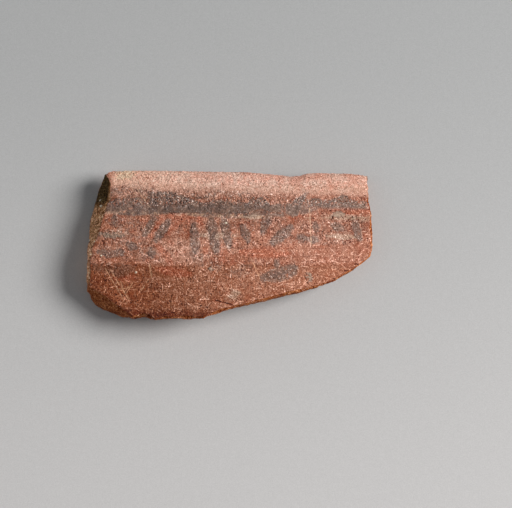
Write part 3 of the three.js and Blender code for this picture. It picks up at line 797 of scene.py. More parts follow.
# Colours of the slip. A blotch has a size in millimetres, a seed, where its cloud starts and is full, its
# strength and its colour.
SLIP_RED = (172, 106, 78)
SLIP_PINK = (198, 138, 112)
SLIP_BLOTCHES = (
    (2.6, 62, 0, 0.6, 0.5, (184, 96, 66)), (2.9, 63, 0, 0.7, 0.45, (124, 78, 58)),
    (1.9, 60, 0.1, 0.8, 0.5, (208, 154, 132)),
)
SLIP_AT_RIGHT = (170, 106, 82)
# The lower wall's colours are darker and browner: partly the slip's own colour, partly painted shade.
SLIP_BELOW = (166, 98, 60)
SLIP_BELOW_LEFT = (136, 68, 28)
SLIP_AT_LEFT = (186, 98, 56)
SLIP_OCHRE = (182, 94, 62)
SLIP_PALE_STREAK = (204, 144, 116)
SLIP_DARK_STREAK = (120, 72, 50)
# Painted light: a lighter slip colour for the top of the wall.
SLIP_TOP_LIT = (204, 154, 132)
CHALK = (204, 172, 148)
LEDGE = (214, 168, 138)
SCRATCHED = (234, 188, 156)
SCRATCHED_BELOW = (244, 184, 142)

# Colours of the paint on the slip, and of the stain where the paint is gone
PAINT_GREY = (96, 83, 76)
PAINT_BROWN = (130, 106, 92)
PAINT_STREAK = (72, 64, 61)
PAINT_THIN = (146, 102, 82)
PAINT_AT_LOWER_LEFT = (108, 68, 44)
PAINT_AT_RIGHT = (146, 124, 112)


def slip_skin(edges, slope, rows_by_coil):
    """Places of a skin that runs over all three coils."""
    along = np.linspace(0, 1, SLIP_COLUMNS + 1)[:, None]
    start = SLIP_START + 0.035 * uneven(on_face(along * WIDTH, 0 * along), 5 * MM, 51)
    x_parts = []
    down_parts = []
    for number, rows in enumerate(rows_by_coil):
        share = np.linspace(0, 1, rows + 1)[None, :] + 0 * along
        if number == 0:
            share = start + (1 - start) * share
        else:
            share = share[:, 1:]
        x, down = skin_place(edges, number, along, share, slope, 0)
        x_parts.append(x)
        down_parts.append(down)
    return np.concatenate(x_parts, axis=1), np.concatenate(down_parts, axis=1)


def outer_slip():
    x, down = slip_skin(OUTER_EDGES, 0, SLIP_ROWS)
    place = on_face(x, down)
    flaked = FLAKED_LEAST + FLAKED_MORE * smooth(0, 0.8, uneven(place, 1.7 * MM, 52))
    inwards = np.linspace(1, -1, SLIP_COLUMNS + 1)[:, None]
    x = x + flaked * np.sign(inwards) * np.abs(inwards) ** SIDE_FLAKING
    down = down - flaked * np.linspace(0, 1, down.shape[1])[None, :] ** BOTTOM_FLAKING
    place = on_face(x, down)
    brushed = waves(place / BRUSH_STRETCH, BRUSH_MARKS) + waves(place, SLIP_DENTS)
    thickness = SLIP_THICKNESS * smooth(0, SLIP_TAPER, down - down[:, :1])
    edge_thin = 1 - 0.5 * smooth(0.9, 1, np.abs(inwards) ** 20)
    hollow = pitted(place, SLIP_PITS) - LEAST_SLIP - thickness * edge_thin - brushed
    top = outer_point(x, down, COAT_ALLOWANCE + hollow)
    bottom = outer_point(x, down, COAT_ALLOWANCE - SLIP_BED)
    points = np.stack((top, bottom), axis=2)
    places = np.stack((place, place + (0, 0, SLIP_THICKNESS)), axis=2)
    return points, places


def hairlines(finish, size, seed, share, curl):
    """Short scratches, at most one in each cell of that size, in that share of the cells. They bend on a
    circle of as many cells as the curl."""
    spot = finish.moved(size, seed)
    sockets = {"Vector": spot, "Scale": 1.0, "Randomness": 1.0}
    cell = finish.add("ShaderNodeTexVoronoi", {"voronoi_dimensions": "2D"}, sockets)
    chance = finish.add("ShaderNodeSeparateColor", None, {"Color": cell.output("Color")})
    angle = chance * FULL_TURN
    sockets = {"X": angle.sum("COSINE", angle) * curl, "Y": angle.sum("SINE", angle) * curl}
    offset = finish.add("ShaderNodeCombineXYZ", None, sockets)
    centre = finish.vector("ADD", cell.output("Position"), offset)
    flat = finish.vector("MULTIPLY", spot, (1, 1, 0))
    ring = finish.vector("DISTANCE", flat, centre, output="Value")
    line = 1 - finish.ramp(abs(ring - curl), 0, HAIRLINE_WIDTH / (size * MM))
    ends = 1 - finish.ramp(cell, 0.25, 0.5)
    chosen = finish.ramp(chance.output("Green"), 1 - share, 1.4 - share)
    return line * ends * chosen


def line_mask(finish, line):
    """1 on a line between two places of the outer face, and 0 beside it."""
    start, end, width = line
    first = np.array((width_place(start[0]), start[1] * HEIGHT, 0))
    run = np.array((width_place(end[0]), end[1] * HEIGHT, 0)) - first
    flat = finish.vector("MULTIPLY_ADD", finish.place, (1, 1, 0), (-first).tolist())
    along = finish.vector("DOT_PRODUCT", flat, (run / (run @ run)).tolist(), output="Value")
    held = along.sum("MINIMUM", along.sum("MAXIMUM", along, 0), 1)
    sockets = {"Vector": run.tolist(), "Scale": held}
    reached = finish.add("ShaderNodeVectorMath", {"operation": "SCALE"}, sockets)
    off_line = finish.vector("DISTANCE", flat, reached, output="Value")
    return 1 - finish.ramp(off_line, 0.3 * RUB_WIDTH * width, RUB_WIDTH * width)


def strongest(masks):
    total = masks[0]
    for mask in masks[1:]:
        total = total.sum("MAXIMUM", total, mask)
    return total


def slip_colour(finish, lower):
    """The slip as it was brushed on and fired. It is darker and browner on the lower wall, most at the left:
    partly the slip's own colour and partly painted shade where the wall turns away from the light. At the
    top of the wall it is painted lighter, as painted light where the wall turns up towards the lamp.
    """
    to_left = finish.before(finish.x, -34, 12)
    to_right = finish.past(finish.x, -10, 25)
    colour = finish.mix(finish.patches(8, 61, -0.5, 0.5), SLIP_RED, SLIP_PINK)
    for blotch in SLIP_BLOTCHES:
        colour = finish.blotched(colour, *blotch)
    colour = finish.mix(to_right * 0.5, colour, SLIP_AT_RIGHT)
    # Partly painted shade: the lower wall is darker and browner, most at the left, where it turns away from
    # the light.
    brown = finish.mix(to_left, SLIP_BELOW, SLIP_BELOW_LEFT)
    colour = finish.mix(lower * (0.4 + 0.5 * to_left), colour, brown)
    colour = finish.mix(finish.before(finish.x, -34, -22) * 0.4, colour, SLIP_AT_LEFT)
    ochre = finish.ramp(finish.attribute("ochre") + 0.7 * finish.cloud(1.2, 59), -0.2, 0.9)
    colour = finish.mix(ochre * 0.62, colour, SLIP_OCHRE)
    streaks = finish.cloud((14, 0.7, 5), 65)
    colour = finish.mix(finish.ramp(streaks, 0, 1) * 0.4, colour, SLIP_PALE_STREAK)
    colour = finish.mix(finish.ramp(0 - streaks, 0.1, 1) * 0.35, colour, SLIP_DARK_STREAK)
    # Painted light: the top of the wall is made lighter, more at the right, where it turns up towards the
    # lamp.
    upper = finish.before(finish.down, 7, 9.5, stray=(0.8, 1.6, 66))
    return finish.mix(upper * (0.55 + 0.3 * to_right), colour, SLIP_TOP_LIT)


def in_lower_left(finish):
    return finish.past(finish.down, 28, 30) * finish.before(finish.x, -28, -20)


def paint_left(finish):
    """Where the dark paint is left, and where it is whole: along the foot of the band under the rim, and
    more or less in the strokes."""
    on_foot = finish.past(finish.down, 10, 12.5)
    in_strokes = finish.past(finish.down, 14.4, 15.4)
    whole = on_foot * (1 - 0.45 * in_strokes)
    ragged = 0.5 * finish.cloud(1.6, 91) + 0.55 * finish.cloud((0.5, 0.8, 0.6), 92)
    left = finish.ramp(finish.attribute("paint_reach") + ragged * (1 - 0.75 * whole), -0.65, 0.4)
    strength = 0.88 - 0.12 * in_strokes - 0.24 * in_lower_left(finish)
    return strength * left * (1 - finish.specks(0.55, 93, 0.2) * (0.8 - 0.75 * whole)), whole


def paint_tone(finish):
    tone = finish.mix(finish.patches(2.5, 94, -0.5, 0.5), PAINT_GREY, PAINT_BROWN)
    streaks = finish.cloud((9, 0.5, 4), 95)
    tone = finish.mix(finish.ramp(streaks, 0, 1) * 0.5, tone, PAINT_STREAK)
    tone = finish.blotched(tone, 0.9, 96, 0, 0.9, 0.4, PAINT_THIN)
    tone = finish.mix(in_lower_left(finish) * 0.6, tone, PAINT_AT_LOWER_LEFT)
    return finish.mix(finish.past(finish.x, 12, 24) * 0.4, tone, PAINT_AT_RIGHT)


def worn_ledge(finish):
    """1 on the edge of the ledge, where the slip is rubbed pale in patches."""
    level = finish.down - 0.03 * finish.x + 0.35 * MM * finish.cloud(2.4, 69)
    ledge = finish.past(level, 14.2, 14.6) * finish.before(level, 14.9, 15.5)
    ledge = ledge * finish.patches(2.2, 70, -0.3, 0.5)
    return ledge * (1 - 0.7 * finish.past(finish.x, 9, 14))


def slip_pits(finish, rough, rubbed_smooth):
    pits = finish.specks(0.5, 74, 0.13) * rough
    pits = pits * (1 - 0.7 * finish.patches(2.6, 75, -0.4, 0.4))
    return pits * (1 - 0.5 * rubbed_smooth)


def fine_scratches(finish, left):
    """Short scratches all over the slip, fewer at the top and on the paint."""
    scratched = strongest([hairlines(finish, *kind) for kind in HAIRLINES])
    scratched = scratched * finish.patches(1.4, 76, -0.5, 0.4)
    return scratched * (0.7 + 0.3 * finish.past(finish.down, 14, 27)) * (1 - 0.4 * left)


def pale_places(finish, lower):
    """How much paler the slip is in a belt below the strokes, and at its ends: painted light at the left
    end, which the lamp from the right reaches less, and painted shade at the right end.
    """
    belt = finish.past(finish.down, 21, 23) * finish.before(finish.down, 25, 31)
    belt = belt * finish.past(finish.x, -27, -20)
    belt = belt * (1.5 - 0.9 * finish.past(finish.x, -6, 2))
    # Painted light at the left end and painted shade at the right end, against the key lamp from the right.
    ends = finish.before(finish.x, -29, -19) * (1 - lower) - finish.past(finish.x, 30, 42)
    return belt, ends


def rubbed_rim(finish):
    """1 on the rim, where the slip is rubbed off, and 0 on the wall."""
    worn = finish.down + 0.9 * MM * finish.cloud(1.1, 77) + 1.4 * MM * finish.before(finish.x, -38, -20)
    return finish.before(worn - 1.2 * MM * finish.past(finish.x, -4, 8), 4.8, 7.4)


def worn_slip_look(finish):
    """The colour of the painted slip with its wear and with painted light and shade, and how high its marks
    stand.
    """
    lower = finish.past(finish.down, 29.4, 31.4, stray=(0.7, 3, 64))
    left, whole = paint_left(finish)
    colour = finish.mix(left, slip_colour(finish, lower), paint_tone(finish))
    hazy = finish.cloud((3, 0.5, 2), 68)
    chalk = finish.ramp(finish.attribute("chalk") + 0.8 * hazy, 0, 1.3)
    colour = finish.mix(chalk * 0.6, colour, CHALK)
    colour = finish.mix(worn_ledge(finish) * 0.75, colour, LEDGE)
    rough = 1.15 - 0.75 * whole * left
    patches = finish.patches(3.4, 71, -0.5, 0.5)
    curls = finish.curls(0.8, 72, 0.2) * patches * rough
    rubbed_smooth = finish.past(finish.down, 22, 26) * finish.past(finish.x, 0, 20)
    grainy = (0.5 + 0.5 * finish.patches(3, 58, -0.4, 0.4)) * rough * (1 - 0.4 * rubbed_smooth)
    pits = slip_pits(finish, rough, rubbed_smooth)
    scratched = fine_scratches(finish, left)
    rubs = strongest([line_mask(finish, line) for line in SCRATCHES])
    rubs = rubs * finish.patches(0.8, 57, -0.8, 0.4) * 0.8
    cracks = strongest([line_mask(finish, line) for line in CRACKS])
    furrows = finish.curls(0.7, 89, 0.2) * rough * (1 - 0.6 * left)
    pale_belt, pale_ends = pale_places(finish, lower)
    # Darker at the foot of the slip: dirt, and painted shade where the wall turns under.
    foot = finish.past(finish.down, 43.5, 46.5)
    shade = grainy * finish.grain(73, 0.14, 0.05, 0.02) + 0.16 * curls - 0.12 * furrows - 0.34 * pits
    shade = shade + (0.26 + 0.2 * left) * rough * finish.specks(0.4, 56, 0.1)
    shade = shade + 0.45 * scratched - 0.3 * cracks + 0.05 * (pale_belt + pale_ends) - 0.14 * foot - 0.015
    colour = finish.shaded(colour, shade)
    colour = finish.mix(rubs, colour, finish.mix(lower, SCRATCHED, SCRATCHED_BELOW))
    scratched = strongest([scratched, rubs])
    colour = finish.mix(rubbed_rim(finish), colour, worn_rim_colour(finish))
    return colour, finish.cloud(0.45, 78, 2.0) + 0.5 * curls - 0.8 * scratched - pits - 2 * cracks


def red_slip_finish():
    finish = Finish("burnished_red_slip")
    colour, height = worn_slip_look(finish)
    return finish.done(colour, 0.66 + 0.1 * finish.cloud(2, 79), height, 0.08, 0.3)


def coat_of_slip(name, skins, material, slot):
    """A coat of slip, closed between its two skins. Returns each corner's place on the bowl too."""
    points, places = skins
    corners, faces, surface = block(points)
    coat = shaped(name, laid(corners), places[surface], faces, material)
    finished(coat, slot, name)
    return coat, places[surface]


slip, slip_on_bowl = coat_of_slip("outer_slip", outer_slip(), red_slip_finish(), "red_slip")

# The coat of slip on the hollow side, thinner and duller than the outer one because it was only wiped on. It
# is worn back from the breaks. It can't be seen from above.
INNER_SLIP_MARGIN = 4.5 * MM
INNER_SLIP_ROWS = (20, 28, 34)
INNER_SLIP_BED = 0.02 * MM
INNER_SLIP_FACE = 0.08 * MM
INNER_DENTS = ((0.03, 1.5, 89),)
WIPE_MARKS = ((0.03, 1.2, 88),)
WIPE_STRETCH = (10, 1, 1)
INNER_RED = (168, 108, 86)
INNER_PINK = (186, 128, 106)
INNER_WIPED = (142, 88, 68)
INNER_PALE_SPECK = (214, 168, 144)
INNER_DARK_SPECK = (98, 66, 52)


def inner_slip_finish():
    finish = Finish("wiped_inner_slip")
    colour = finish.mix(finish.patches(8, 81, -0.7, 0.7), INNER_RED, INNER_PINK)
    wiped = finish.cloud((18, 0.9, 6), 82)
    colour = finish.mix(finish.ramp(wiped, 0, 1) * 0.4, colour, INNER_WIPED)
    colour = finish.mix(finish.specks(0.7, 83, 0.2) * 0.5, colour, INNER_PALE_SPECK)
    colour = finish.mix(finish.specks(0.5, 84, 0.16) * 0.6, colour, INNER_DARK_SPECK)
    return finish.done(colour, 0.84, finish.cloud(0.5, 85, 3.0) + 0.5 * wiped, 0.04, 0.35)


def inner_slip():
    x, down = slip_skin(INNER_EDGES, JOINT_SLOPE, INNER_SLIP_ROWS)
    narrowed = 1 - 2 * INNER_SLIP_MARGIN / WIDTH
    shortened = np.linspace(1, 1 - INNER_SLIP_MARGIN / HEIGHT, x.shape[1])[None, :]
    place = on_face(x, down)
    ragged = 1 + 0.02 * uneven(place, 4 * MM, 86) + 0.008 * uneven(place, 1.1 * MM, 87)
    x = x * narrowed * ragged
    down = down * shortened * (1 + 0.3 * (ragged - 1))
    place = on_face(x, down)
    dents = waves(place / WIPE_STRETCH, WIPE_MARKS) + waves(place, INNER_DENTS)
    lower = bowl_point(x, down, inner_radius(x, down, COAT_ALLOWANCE - INNER_SLIP_BED))
    upper = bowl_point(x, down, inner_radius(x, down, INNER_SLIP_FACE) - dents)
    points = np.stack((lower, upper), axis=2)
    places = np.stack((place + (0, 0, WALL), place + (0, 0, WALL)), axis=2)
    return points, places


coat_of_slip("inner_slip", inner_slip(), inner_slip_finish(), "inner_slip")

# The dark bands: iron-rich paint laid on the slip with a broad brush while the bowl turned, under the rim
# and lower on the wall. It fired to a thin grey-brown film that has since worn through and flaked.
PAINT_CELL = 0.13 * MM
PAINT_THICKNESS = 0.05 * MM
WORN_MARGIN = 0.3 * MM
FULL_REACH = 0.9 * MM
PAINT_LUMPS = 0.4
LUMP_SIZE = 0.7 * MM
BAND_WEAR = 0.3
BAND_SEED = 100
SEEDS_PER_COAT = 3
LAID_FROM = 5 * MM
LAID_WITHIN = 20 * MM
WELD = 0.001 * MM

# How the edges of a worn coat stray: how much, over what size in millimetres, and how far it is stretched
RAGGED = ((0.6, 1.5, (1, 1, 1)), (0.75, 0.6, (1, 1.5, 1)), (0.6, 0.34, (1, 1, 1)))

# How far inside a mark a corner lies that is in none, and one that is far from all of them, in millimetres
NO_MARK = -1
FAR_OFF = -3.0

# Each length of band: share of the width, then the shares of the height at its two edges
BANDS = {
    "rim_band_left": (
        (0.066, 0.241, 0.281), (0.088, 0.24, 0.281), (0.104, 0.236, 0.28), (0.132, 0.2, 0.274),
        (0.17, 0.197, 0.24),
    ),
    "rim_band_middle": (
        (0.214, 0.145, 0.3), (0.25, 0.141, 0.296), (0.29, 0.146, 0.291), (0.326, 0.166, 0.291),
        (0.364, 0.193, 0.29), (0.413, 0.226, 0.29), (0.441, 0.203, 0.291), (0.476, 0.204, 0.294),
        (0.518, 0.217, 0.294), (0.564, 0.217, 0.294), (0.578, 0.184, 0.28), (0.613, 0.181, 0.262),
        (0.641, 0.234, 0.29), (0.679, 0.227, 0.285),
    ),
    "rim_band_blot": (
        (0.694, 0.228, 0.294), (0.718, 0.214, 0.314), (0.736, 0.194, 0.31), (0.748, 0.176, 0.26),
        (0.771, 0.137, 0.16),
    ),
    "rim_band_right": (
        (0.781, 0.19, 0.244), (0.813, 0.19, 0.244), (0.834, 0.214, 0.254), (0.876, 0.187, 0.254),
        (0.897, 0.157, 0.254), (0.918, 0.194, 0.254), (0.949, 0.214, 0.257), (0.981, 0.217, 0.257),
    ),
    "lower_band_left": ((0.025, 0.63, 0.664), (0.04, 0.628, 0.674), (0.06, 0.634, 0.682)),
    "lower_band_right": (
        (0.077, 0.64, 0.657), (0.094, 0.643, 0.697), (0.112, 0.645, 0.724), (0.14, 0.647, 0.704),
        (0.166, 0.65, 0.677),
    ),
}


def band_reach(stations, x, down):
    """How far inside the outline of a band a place lies, in metres."""
    line = np.array(stations)
    top = line_depth(line, x)
    bottom = line_depth(line[:, [0, 2]], x)
    sides = np.minimum(x - width_place(line[0, 0]), width_place(line[-1, 0]) - x)
    return np.minimum(np.minimum(down - top, bottom - down), sides)


def kept_cells(reach, x, down, wear, seed):
    """Cells of a coat that are left: inside its outline, where wear hasn't gone through it."""
    place = on_face(x, down)
    ragged = sum(
        stray * uneven(place / stretch, size * MM, seed + number)
        for number, (stray, size, stretch) in enumerate(RAGGED)
    )
    inside = np.clip((reach + WORN_MARGIN) / FULL_REACH, -1.5, 1)
    kept = inside + ragged - wear > 0
    padded = np.pad(kept, 1).astype(int)
    around = sum(
        padded[1 + a:padded.shape[0] - 1 + a, 1 + b:padded.shape[1] - 1 + b]
        for a, b in itertools.product((-1, 0, 1), repeat=2)
    )
    kept = np.where(kept, around > 4, around > 6)
    kept[[0, -1]] = kept[:, [0, -1]] = False
    while True:
        crossed = (kept[:-1, :-1] == kept[1:, 1:]) & (kept[1:, :-1] == kept[:-1, 1:])
        crossed &= kept[:-1, :-1] != kept[1:, :-1]
        if not crossed.any():
            return kept
        kept[:-1, :-1] &= ~crossed
        kept[1:, :-1] &= ~crossed


def smoothed_edges(corners, kept):
    """Corners of the cells, with those on the edge of what is kept drawn to their neighbours on it."""
    padded = np.pad(kept, 1)
    across = padded[1:, :-1] ^ padded[1:, 1:]
    upright = padded[:-1, 1:] ^ padded[1:, 1:]
    links = (((slice(None, -1), slice(None)), (slice(1, None), slice(None)), across[:-1]),
             ((slice(None), slice(None, -1)), (slice(None), slice(1, None)), upright[:, :-1]))
    for _ in range(3):
        total = np.zeros(corners.shape)
        count = np.zeros(corners.shape[:2])
        for first, second, there in links:
            total[first] += corners[second] * there[..., None]
            total[second] += corners[first] * there[..., None]
            count[first] += there
            count[second] += there
        on_edge = count > 0
        corners[on_edge] = corners[on_edge] / 2 + total[on_edge] / count[on_edge][:, None] / 2
    return corners


def coat_cut(reach_at, low, high, wear, seed):
    """A flat piece of coat over the slip, cut to what is left of it."""
    size = [int(np.ceil((end - start) / PAINT_CELL)) for start, end in zip(low, high)]
    grid = [start + np.arange(count + 1) * PAINT_CELL for start, count in zip(low, size)]
    x, down = np.meshgrid(*grid, indexing="ij")
    middle_x = (x[:-1, :-1] + x[1:, 1:]) / 2
    middle_down = (down[:-1, :-1] + down[1:, 1:]) / 2
    kept = kept_cells(reach_at(middle_x, middle_down), middle_x, middle_down, wear, seed)
    corners = smoothed_edges(np.stack((x, down), axis=-1), kept)
    ids = np.arange(x.size).reshape(x.shape)
    quads = np.stack((ids[:-1, :-1], ids[:-1, 1:], ids[1:, 1:], ids[1:, :-1]), axis=-1)[kept]
    used, faces = np.unique(quads, return_inverse=True)
    x, down = corners.reshape(-1, 2)[used].T
    points = laid(bowl_point(x, down, outer_radius(x, down, 0)))
    faces = faces.reshape(quads.shape)[:, ::-1].tolist()
    return points, on_face(x, down), faces, reach_at(x, down) / MM


def coat_tree():
    """Geometry Nodes that lay a cut coat on the slip under it and give it its thickness."""
    maker = Maker("coat_on_slip", Slip="Object", Thickness="Float", Lump="Float", Unevenness="Float")
    given = maker.given
    above = maker.vector("ADD", maker.add("GeometryNodeInputPosition"), (0, 0, LAID_FROM))
    target = maker.add("GeometryNodeObjectInfo", None, {"Object": given.output("Slip")}, output="Geometry")
    hit = maker.add("GeometryNodeRaycast", None, {
        "Target Geometry": target, "Source Position": above,
        "Ray Direction": (0, 0, -1), "Ray Length": LAID_WITHIN,
    }, output="Hit Position")
    draped = maker.add("GeometryNodeSetPosition", None, {"Geometry": given, "Position": hit})
    in_lumps = maker.vector("DIVIDE", maker.add("GeometryNodeInputPosition"), given.output("Lump"))
    lumps = maker.add("ShaderNodeTexNoise", None, {"Scale": 1.0, "Vector": in_lumps})
    height = given.output("Thickness") * (1 + given.output("Unevenness") * (lumps * 4 - 2))
    raised = maker.add("GeometryNodeExtrudeMesh", None, {
        "Mesh": draped, "Offset": hit.output("Hit Normal"), "Offset Scale": height, "Individual": False,
    })
    under = maker.add("GeometryNodeFlipFaces", None, {"Mesh": draped})
    both = maker.add("GeometryNodeJoinGeometry")
    for half in (raised, under):
        maker.tree.links.new(half.socket, both.socket.node.inputs[0])
    sockets = {"Geometry": both, "Distance": WELD}
    return maker.done(maker.add("GeometryNodeMergeByDistance", None, sockets))


def dark_paint_finish():
    finish = Finish("dark_brush_paint")
    colour, height = worn_slip_look(finish)
    return finish.done(colour, 0.72 + 0.08 * finish.cloud(1.5, 97), height, 0.07, 0.3)


coat_on_slip = coat_tree()
dark_paint = dark_paint_finish()
reaches = [np.full(len(slip_on_bowl), FAR_OFF)]


def lay_coat(name, cut, thickness, unevenness, material, slot):
    """Lays a cut coat on the slip. The slip's own marks don't show on it."""
    points, places, faces, reach = cut
    piece = shaped(name, points, places, faces, material)
    keep(piece.data, "paint_reach", reach)
    keep(piece.data, "ochre", 0 * reach + NO_MARK)
    keep(piece.data, "chalk", 0 * reach + NO_MARK)
    run_nodes(
        piece, coat_on_slip, Slip=slip, Thickness=thickness, Lump=LUMP_SIZE, Unevenness=unevenness,
        Finish=material,
    )
    finished(piece, slot, name)


def paint(name, reach_at, box, wear, seed):
    """Lays a film of dark paint, and keeps how far inside it each corner of the slip lies."""
    cut = coat_cut(reach_at, *box, wear, seed)
    lay_coat(name, cut, PAINT_THICKNESS, PAINT_LUMPS, dark_paint, "dark_paint")
    reaches.append(reach_at(*slip_on_bowl.T[:2]) / MM)


for number, (name, stations) in enumerate(BANDS.items()):
    line = np.array(stations)
    low = (width_place(line[0, 0]) - MM, line[:, 1].min() * HEIGHT - MM)
    high = (width_place(line[-1, 0]) + MM, line[:, 2].max() * HEIGHT + MM)
    seed = BAND_SEED + SEEDS_PER_COAT * number
    paint(name, partial(band_reach, stations), (low, high), BAND_WEAR, seed)

# The brush strokes between the bands: short dabs of the same paint, each made with one touch of a small
# brush, and most of them slanting. Each has its two ends as shares, and its width as a share of the brush's.
BRUSH_WIDTH = 3.1 * MM
TAPER = (0.55, 0.9, 1, 0.95, 0.6)
STROKE_WEAR = 0.45
STROKE_SEED = 130
STROKES = (
    ((0.096, 0.311), (0.1, 0.365), 0.85),
    ((0.236, 0.326), (0.203, 0.435), 0.7),
    ((0.288, 0.343), (0.243, 0.47), 0.9),
    ((0.375, 0.375), (0.382, 0.543), 1),
    ((0.436, 0.328), (0.454, 0.543), 1.1),
    ((0.476, 0.308), (0.499, 0.509), 0.9),
    ((0.546, 0.381), (0.564, 0.472), 0.9),
    ((0.637, 0.308), (0.615, 0.412), 1),
    ((0.7145, 0.385), (0.6515, 0.4855), 1.1),
    ((0.739, 0.455), (0.764, 0.459), 0.85),
    ((0.778, 0.465), (0.802, 0.469), 0.85),
    ((0.7986, 0.361), (0.804, 0.408), 0.7),
    ((0.86, 0.368), (0.89, 0.395), 0.95),
    ((0.937, 0.3445), (0.9527, 0.462), 0.95),
    ((0.145, 0.499), (0.172, 0.5225), 0.9),
    ((0.098, 0.553), (0.1296, 0.546), 0.6),
    ((0.2277, 0.529), (0.2294, 0.576), 0.9),
    ((0.066, 0.562), (0.085, 0.576), 0.75),
    ((0.697, 0.65), (0.73, 0.658), 0.7),
    ((0.637, 0.715), (0.69, 0.712), 0.7),
    ((0.662, 0.612), (0.667, 0.655), 0.6),
)


def stroke_reach(stroke, width, x, down):
    """How far inside the outline of a stroke a place lies, in metres."""
    start, end, share = stroke
    first = np.array((width_place(start[0]), start[1] * HEIGHT))
    run = np.array((width_place(end[0]), end[1] * HEIGHT)) - first
    place = np.stack((x, down), axis=-1) - first
    along = place @ run / (run @ run)
    off_line = np.linalg.norm(place - np.clip(along, 0, 1)[..., None] * run, axis=-1)
    half_width = np.interp(along, np.linspace(0, 1, len(TAPER)), TAPER) * share * width / 2
    return half_width - off_line


def stroke_box(stroke, width):
    ends = np.array([(width_place(place[0]), place[1] * HEIGHT) for place in stroke[:2]])
    return ends.min(axis=0) - width, ends.max(axis=0) + width


for number, stroke in enumerate(STROKES):
    reach_at = partial(stroke_reach, stroke, BRUSH_WIDTH)
    seed = STROKE_SEED + SEEDS_PER_COAT * number
    paint(f"brush_stroke_{number + 1:02}", reach_at, stroke_box(stroke, BRUSH_WIDTH), STROKE_WEAR, seed)

# Places where the film has gone and only its stain is left, with how strong it is, then patches of redder
# slip, and a haze that the soil left
FADED = (
    ((0.07, 0.17), (0.24, 0.16), 1.4, -0.3), ((0.07, 0.245), (0.24, 0.245), 1.9, 0.3),
    ((0.69, 0.245), (0.79, 0.245), 1.6, 0.1), ((0.78, 0.23), (0.99, 0.235), 0.9, 0),
    ((0.79, 0.275), (0.99, 0.28), 1.1, -0.4),
    ((0.225, 0.27), (0.243, 0.32), 0.8, 0), ((0.44, 0.54), (0.46, 0.65), 1.2, -0.3),
    ((0.37, 0.52), (0.4, 0.62), 1.1, -0.2), ((0.5, 0.69), (0.57, 0.66), 1.1, -0.3),
    ((0.1, 0.56), (0.24, 0.56), 1.2, -0.2), ((0.03, 0.655), (0.16, 0.665), 1.1, 0.2),
    ((0.7, 0.46), (0.95, 0.46), 1.1, -0.3), ((0.62, 0.72), (0.72, 0.68), 1.4, 0.4),
    ((0.5, 0.37), (0.68, 0.36), 1.2, -0.3), ((0.74, 0.36), (0.99, 0.38), 1.5, -0.35),
    ((0.24, 0.165), (0.68, 0.2), 1, -0.35),
    ((0.08, 0.34), (0.2, 0.38), 1.3, -0.2), ((0.04, 0.44), (0.2, 0.47), 1.3, -0.25),
    ((0.36, 0.29), (0.68, 0.3), 0.9, 0.25), ((0.05, 0.52), (0.16, 0.52), 1, -0.25),
    ((0.04, 0.55), (0.125, 0.565), 0.7, 0.3),
)
REDDER = (
    ((0.07, 0.33), (0.13, 0.33), 1.2), ((0.25, 0.32), (0.37, 0.31), 1.3), ((0.33, 0.34), (0.27, 0.45), 0.8),
    ((0.7, 0.3), (0.75, 0.33), 1.2), ((0.39, 0.3), (0.4, 0.36), 0.9), ((0.54, 0.55), (0.7, 0.56), 1.2),
    ((0.1, 0.72), (0.17, 0.72), 1), ((0.86, 0.275), (0.99, 0.28), 0.9), ((0.6, 0.3), (0.66, 0.31), 0.8),
    ((0.24, 0.49), (0.3, 0.62), 1), ((0.25, 0.66), (0.36, 0.7), 1.2), ((0.262, 0.33), (0.222, 0.46), 0.8),
)
HAZE = (
    ((0.035, 0.425), (0.137, 0.425), 1.1), ((0.38, 0.44), (0.52, 0.44), 1), ((0.5, 0.85), (0.53, 0.82), 1.2),
    ((0.86, 0.3), (0.9, 0.302), 1.1), ((0.93, 0.33), (0.99, 0.322), 0.8), ((0.84, 0.44), (0.95, 0.45), 1),
    ((0.55, 0.317), (0.61, 0.317), 1), ((0.82, 0.315), (0.99, 0.32), 0.9),
)


def reach_of(marks, cap=None):
    """How far inside the nearest of some marks each corner of the slip lies, in millimetres, up to the cap
    or else to the mark's own last value."""
    return np.max([
        np.minimum(stroke_reach(mark[:3], BRUSH_WIDTH, *slip_on_bowl.T[:2]) / MM, cap or mark[3])
        for mark in marks
    ], axis=0)


keep(slip.data, "paint_reach", np.max([*reaches, reach_of(FADED)], axis=0))
keep(slip.data, "ochre", reach_of(REDDER, 1))
keep(slip.data, "chalk", reach_of(HAZE, 1))

# Crusts of lime that the soil left on the sherd: thin, dull and grey-white, and thicker than the paint. They
# lie on the slip like the strokes, and are written down the same way.
LIME_WIDTH = 2.2 * MM
LIME_THICKNESS = 0.12 * MM
LIME_LUMPS = 0.7
LIME_WEAR = 0.35
LIME_SEED = 210
LIME_DULL = (180, 146, 124)
LIME_PALE = (206, 178, 154)
LIME_SPOTS = (
    ((0.045, 0.437), (0.13, 0.44), 1),
    ((0.865, 0.3), (0.898, 0.302), 1.1),
    ((0.926, 0.33), (0.945, 0.322), 0.7),
    ((0.425, 0.655), (0.448, 0.67), 0.6),
    ((0.774, 0.68), (0.779, 0.74), 0.8),
)


def lime_finish():
    finish = Finish("lime_crust")
    colour, height = worn_slip_look(finish)
    whole = finish.ramp(finish.attribute("paint_reach") + 0.5 * finish.cloud(0.7, 202), -0.1, 0.8)
    crust = finish.mix(finish.patches(1.2, 201, -0.6, 0.7), LIME_DULL, LIME_PALE)
    return finish.done(finish.mix(whole * 0.65, colour, crust), 0.92, height, 0.07, 0.25)


